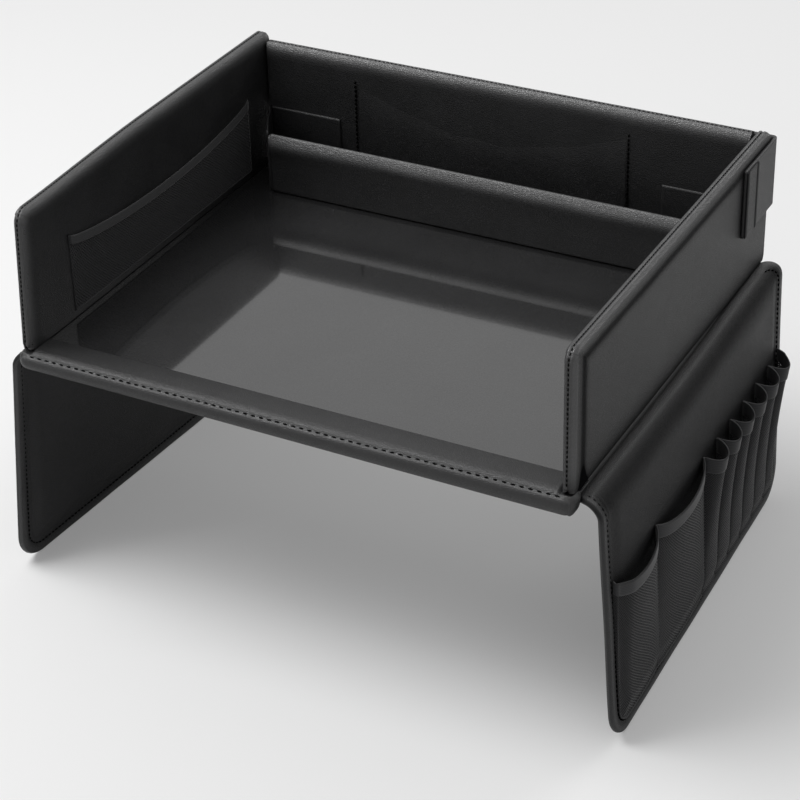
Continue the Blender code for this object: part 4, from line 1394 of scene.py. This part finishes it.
def add_pocket(span, net_name, net_nodes, band_name, band_nodes, form):
    """One bulging net pocket with the elastic band round its mouth."""
    rim = RIM - form["band"]
    size = ((span[1] - span[0]) * form["slack"], rim - POCKET_LOW)
    share = size[1] / (RIM - POCKET_LOW)

    def shape(part, lift):
        bulges = (form["foot"], form["mouth"], lift)
        return bulged(span, part, bulges, form["dip"], form["fullness"])

    lower = shape((0, share + 0.02), NET_LIFT)
    net = net_piece(net_name, size, form["pitch"], lower, "right_wing", net_nodes)
    upper = shape((share, 1), form["band_lift"])
    build = flat_sheet((form["cells"], 8), upper, (size[0], form["band"]))
    band = finish_piece(band_name, build, elastic, "right_wing", band_nodes)
    thicken(band, form["band_sheet"])


def add_pocket_seams():
    """Upright rows of pale stitches between the pockets, from their feet to their rims."""
    nodes = ["middle_pocket_band"] + [f"pen_sleeve_{number}" for number in SLEEVES]
    spans = [span_of(node) for node in nodes]
    edges = [span[0] - SEAM_GAP for span in spans] + [spans[-1][1] + SEAM_GAP]
    rows = bmesh.new()
    made = 0
    for y in edges:
        spots = []
        for step in range(13):
            z = foot_at(y) + (RIM - foot_at(y)) * step / 12
            lifts = [hang(on_face(lift, y, z), "right", 1) for lift in (0.6 * MM, 1.6 * MM)]
            spots.append((lifts[0], (lifts[1] - lifts[0]).normalized()))
        made += sew(rows, spots, *POCKET_STITCH)
    finish_piece("pocket_seam_stitches", rows, pale_thread, "right_wing")
    print("pocket seams:", made, "stitches")


for pocket in ("front", "middle"):
    band_node = pocket + "_pocket_band"
    add_pocket(span_of(band_node), pocket + "_net", [pocket + "_net_pocket"], pocket + "_net_band",
               [band_node], WIDE_POCKET)
for number in SLEEVES:
    tube = f"pen_sleeve_{number}"
    add_pocket(span_of(tube), f"pen_net_{number}", [tube], f"pen_mouth_{number}", (), SLEEVE)
add_pocket_seams()

# %% [markdown]
# ## Corner tabs
# At each rear corner a leather tab is sewn to the side wall, wraps the corner and closes on the
# back wall with hook and loop tape. It is one strip of leather in plan: straight along the wall,
# round the corner, and flat on the tape. Peeling it turns the flap about the corner, so the strip
# bends between the wall and the tab.

# %% Corner tabs
TAB_SHEET = 2.0 * MM
TAB_BEND = 2.6 * MM
TAB_FOOT_UP = 4.5 * MM
TAB_TOP_UP = 4 * MM


def add_tab(side, sign):
    """One corner tab, from the side wall round the corner to the back wall."""
    side_low, side_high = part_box("right_tab_side")
    flap_low, flap_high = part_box("right_tab_flap")
    middle = (side_low.x + side_high.x) / 2
    back = flap_high.y - TAB_SHEET / 2
    points = [(middle, side_low.y), (middle, back - TAB_BEND)]
    points += arc((middle - TAB_BEND, back - TAB_BEND), TAB_BEND, 10, 90, 8) + [(flap_low.x, back)]
    points = [(sign * x, y) for x, y in points]
    foot, top = side_low.z + TAB_FOOT_UP, side_high.z + TAB_TOP_UP
    build, length = path_sheet(points, foot, top, (110, 30))
    piece = make_object(side + "_corner_tab", build, tab_leather)
    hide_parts(side + "_tab_side", side + "_tab_flap")
    thicken(piece, TAB_SHEET)
    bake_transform(piece, side + "_wall", side + "_tab", start=(sign * middle, wall_high.y - 4 * MM, 0),
             end=(sign * (middle - 3 * MM), wall_high.y + 2.5 * MM, 0))
    add_tab_strip(side, foot, top - 1 * MM)
    for node, body in ((side + "_hook_tape", side + "_tab"), (side + "_loop_tape", "back_wall")):
        add_tape(node, body)


def add_tab_strip(side, foot, top):
    """The narrow strip on the side wall beside a tab, between two dark edges."""
    node = side + "_tab_strip"
    low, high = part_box(node)
    place = side_place((low.x + high.x) / 2)
    for name, start, end, thickness, material in TAB_STRIPS:
        corners = ((low.y + start, foot), (low.y + end, top))
        build = plate(*corners, thickness, 1.2 * MM, 1 * MM, (60, 70), place)
        finish_piece(side + name, build, material, side + "_wall", [node])


def add_tape(node, body):
    """One closing tape, flat on its body."""
    low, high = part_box(node)
    place = rear_place((low.y + high.y) / 2)
    corners = ((low.x, low.z), (high.x, high.z))
    build = plate(*corners, high.y - low.y, 0.5 * MM, 2 * MM, (60, 60), place)
    finish_piece(node.replace("_tape", "_fastener"), build, tape, body, [node])


TAB_STRIPS = (
    ("_tab_binding", 0, 20 * MM, 0.8 * MM, leather),
    ("_tab_front_edge", -0.5 * MM, 3.5 * MM, 1.4 * MM, edging),
    ("_tab_rear_edge", 17 * MM, 21 * MM, 1.4 * MM, edging),
)
for side_name, side_sign in SIDES.items():
    add_tab(side_name, side_sign)
print("tabs:", len(SIDES), "with", len(TAB_STRIPS), "strips each")

# %% [markdown]
# ## Strap loops
# Two loops of webbing on the rear edge take the straps that tie the tray to the seat. A loop is a
# band folded double, so its section is an oval: a thin sheet bent round a path and given its
# thickness.

# %% Strap loops
LOOP_SHEET = 1.4 * MM


def add_loop(side):
    """One loop of webbing, its ends under the floor panel's rear edge."""
    low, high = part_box(side + "_strap_loop")
    reach = (high.y - low.y - LOOP_SHEET) / 2
    rise = (high.z - low.z - LOOP_SHEET) / 2
    centre = ((low.y + high.y) / 2, (low.z + high.z) / 2)

    def squared(value):
        return math.copysign(abs(value) ** 0.6, value)

    build = bmesh.new()
    bmesh.ops.create_grid(build, x_segments=20, y_segments=48, size=0.5)
    set_flat_map(build, (0.5, 0.5), (high.x - low.x, math.pi * (reach + rise)))
    for vert in build.verts:
        turn = math.tau * (vert.co.y + 0.5)
        across = vert.co.x + 0.5
        y = centre[0] + reach * squared(math.cos(turn))
        z = centre[1] + rise * squared(math.sin(turn))
        vert.co = (low.x + (high.x - low.x) * across, y, z)
    bmesh.ops.remove_doubles(build, verts=build.verts, dist=1e-6)
    bmesh.ops.recalc_face_normals(build, faces=build.faces)
    name, nodes = side + "_webbing_loop", [side + "_strap_loop"]
    thicken(finish_piece(name, build, webbing, "tray", nodes), LOOP_SHEET)


for side_name in SIDES:
    add_loop(side_name)

# %% [markdown]
# ## Ground
# The tray stands in a plain bright studio. A white ground would need more light than the object
# should get, so the ground is pale grey with a little glow that only the camera sees, and it keeps
# the soft shadow.

# %% Ground
GROUND_COLOR = (0.72, 0.72, 0.72)
GROUND_LIFT = 0.16


def make_ground():
    """A pale ground a little under the lowest point."""
    material = bpy.data.materials.new("ground")
    material.use_nodes = True
    tree = material.node_tree
    tree.nodes.remove(tree.nodes["Principled BSDF"])
    pale = add_node(tree, "BsdfDiffuse", {"Color": (*GROUND_COLOR, 1)})
    camera_ray = add_node(tree, "LightPath").outputs["Is Camera Ray"]
    seen = math_node(tree, "MULTIPLY", camera_ray, GROUND_LIFT)
    lift = add_node(tree, "Emission", {"Strength": seen})
    both = add_node(tree, "AddShader", {0: pale.outputs[0], 1: lift.outputs[0]})
    tree.links.new(both.outputs[0], tree.nodes["Material Output"].inputs["Surface"])
    build = bmesh.new()
    bmesh.ops.create_grid(build, x_segments=2, y_segments=2, size=30)
    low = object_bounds()[0].z
    bmesh.ops.translate(build, verts=build.verts, vec=(0, 0, low - 1 * MM))
    put_in_scene("ground", mesh_from("ground", build, material))
    print("ground at", round((low - 1 * MM) / MM, 1), "mm")


make_ground()

# %% [markdown]
# ## Light
# The world is white where the camera and mirror-like surfaces see it and greyer at the horizon,
# while its light on the object is plainer. Small lamps would give hard shadows and bright spots on
# the leather, so two large soft ones light the object: a strong one from the front left and above,
# and a weaker one from behind.

# %% Light
def make_world(strength, horizon):
    """A white world for the camera and mirrors, greyer at the horizon and plainer as a light."""
    world = bpy.data.worlds.new("studio")
    bpy.context.scene.world = world
    world.use_nodes = True
    tree = world.node_tree
    rays = add_node(tree, "LightPath")
    seen = math_node(tree, "MAXIMUM", rays.outputs["Is Camera Ray"], rays.outputs["Is Glossy Ray"])
    seen = math_node(tree, "MAXIMUM", seen, rays.outputs["Is Transmission Ray"])
    shown = tree.nodes["Background"]
    shown.inputs["Color"].default_value = (1, 1, 1, 1)
    sky = add_node(tree, "TexCoord").outputs["Generated"]
    height = add_node(tree, "SeparateXYZ", {0: sky}).outputs[2]
    share = map_range(tree, seen, 0.0, 1.0, strength, 1.0)
    greyer = map_range(tree, height, 0.0, 0.36, horizon, 1.0)
    tree.links.new(math_node(tree, "MULTIPLY", share, greyer), shown.inputs["Strength"])


def add_lamp(name, place, size, power):
    """A large soft lamp aimed at the middle of the tray."""
    data = bpy.data.lights.new(name, "AREA")
    data.shape = "SQUARE"
    data.size = size
    data.energy = power
    lamp = put_in_scene(name, data)
    lamp.location = place
    lamp.rotation_euler = (-Vector(place)).to_track_quat("-Z", "Y").to_euler()


make_world(strength=0.4, horizon=0.3)
add_lamp("key_lamp", (-1.05, -0.55, 1.95), size=1.4, power=42)
add_lamp("back_lamp", (0.75, 1.9, 1.3), size=1.1, power=9)

# %% [markdown]
# ## Camera
# The camera stands where the photograph's did. Its place and the way it faces were fitted to the
# straight edges of the walls and the floor, and its long lens keeps the mild perspective.

# %% Camera
CAMERA_AZIMUTH = math.radians(28.332)
CAMERA_ELEVATION = math.radians(31.857)
CAMERA_ROLL = math.radians(-1.638)
CAMERA_TARGET = Vector((-0.0172, 0.02895, -0.0847))
CAMERA_DISTANCE = 1.6723
CAMERA_LENS = 106.3
CAMERA_SENSOR = 36


def make_camera():
    """The camera at the photograph's angle."""
    level = math.cos(CAMERA_ELEVATION)
    back = Vector((math.sin(CAMERA_AZIMUTH) * level, -math.cos(CAMERA_AZIMUTH) * level, 0))
    back.z = math.sin(CAMERA_ELEVATION)
    data = bpy.data.cameras.new("camera")
    data.lens = CAMERA_LENS
    data.sensor_width = CAMERA_SENSOR
    camera = put_in_scene("camera", data)
    camera.rotation_mode = "QUATERNION"
    camera.location = CAMERA_TARGET + back * CAMERA_DISTANCE
    upright = (-back).to_track_quat("-Z", "Y")
    camera.rotation_quaternion = upright @ Matrix.Rotation(CAMERA_ROLL, 4, "Z").to_quaternion()
    bpy.context.scene.camera = camera
    return camera


photo_camera = make_camera()
bpy.context.scene.view_settings.view_transform = "Standard"
print("camera at", [round(value, 3) for value in photo_camera.location])
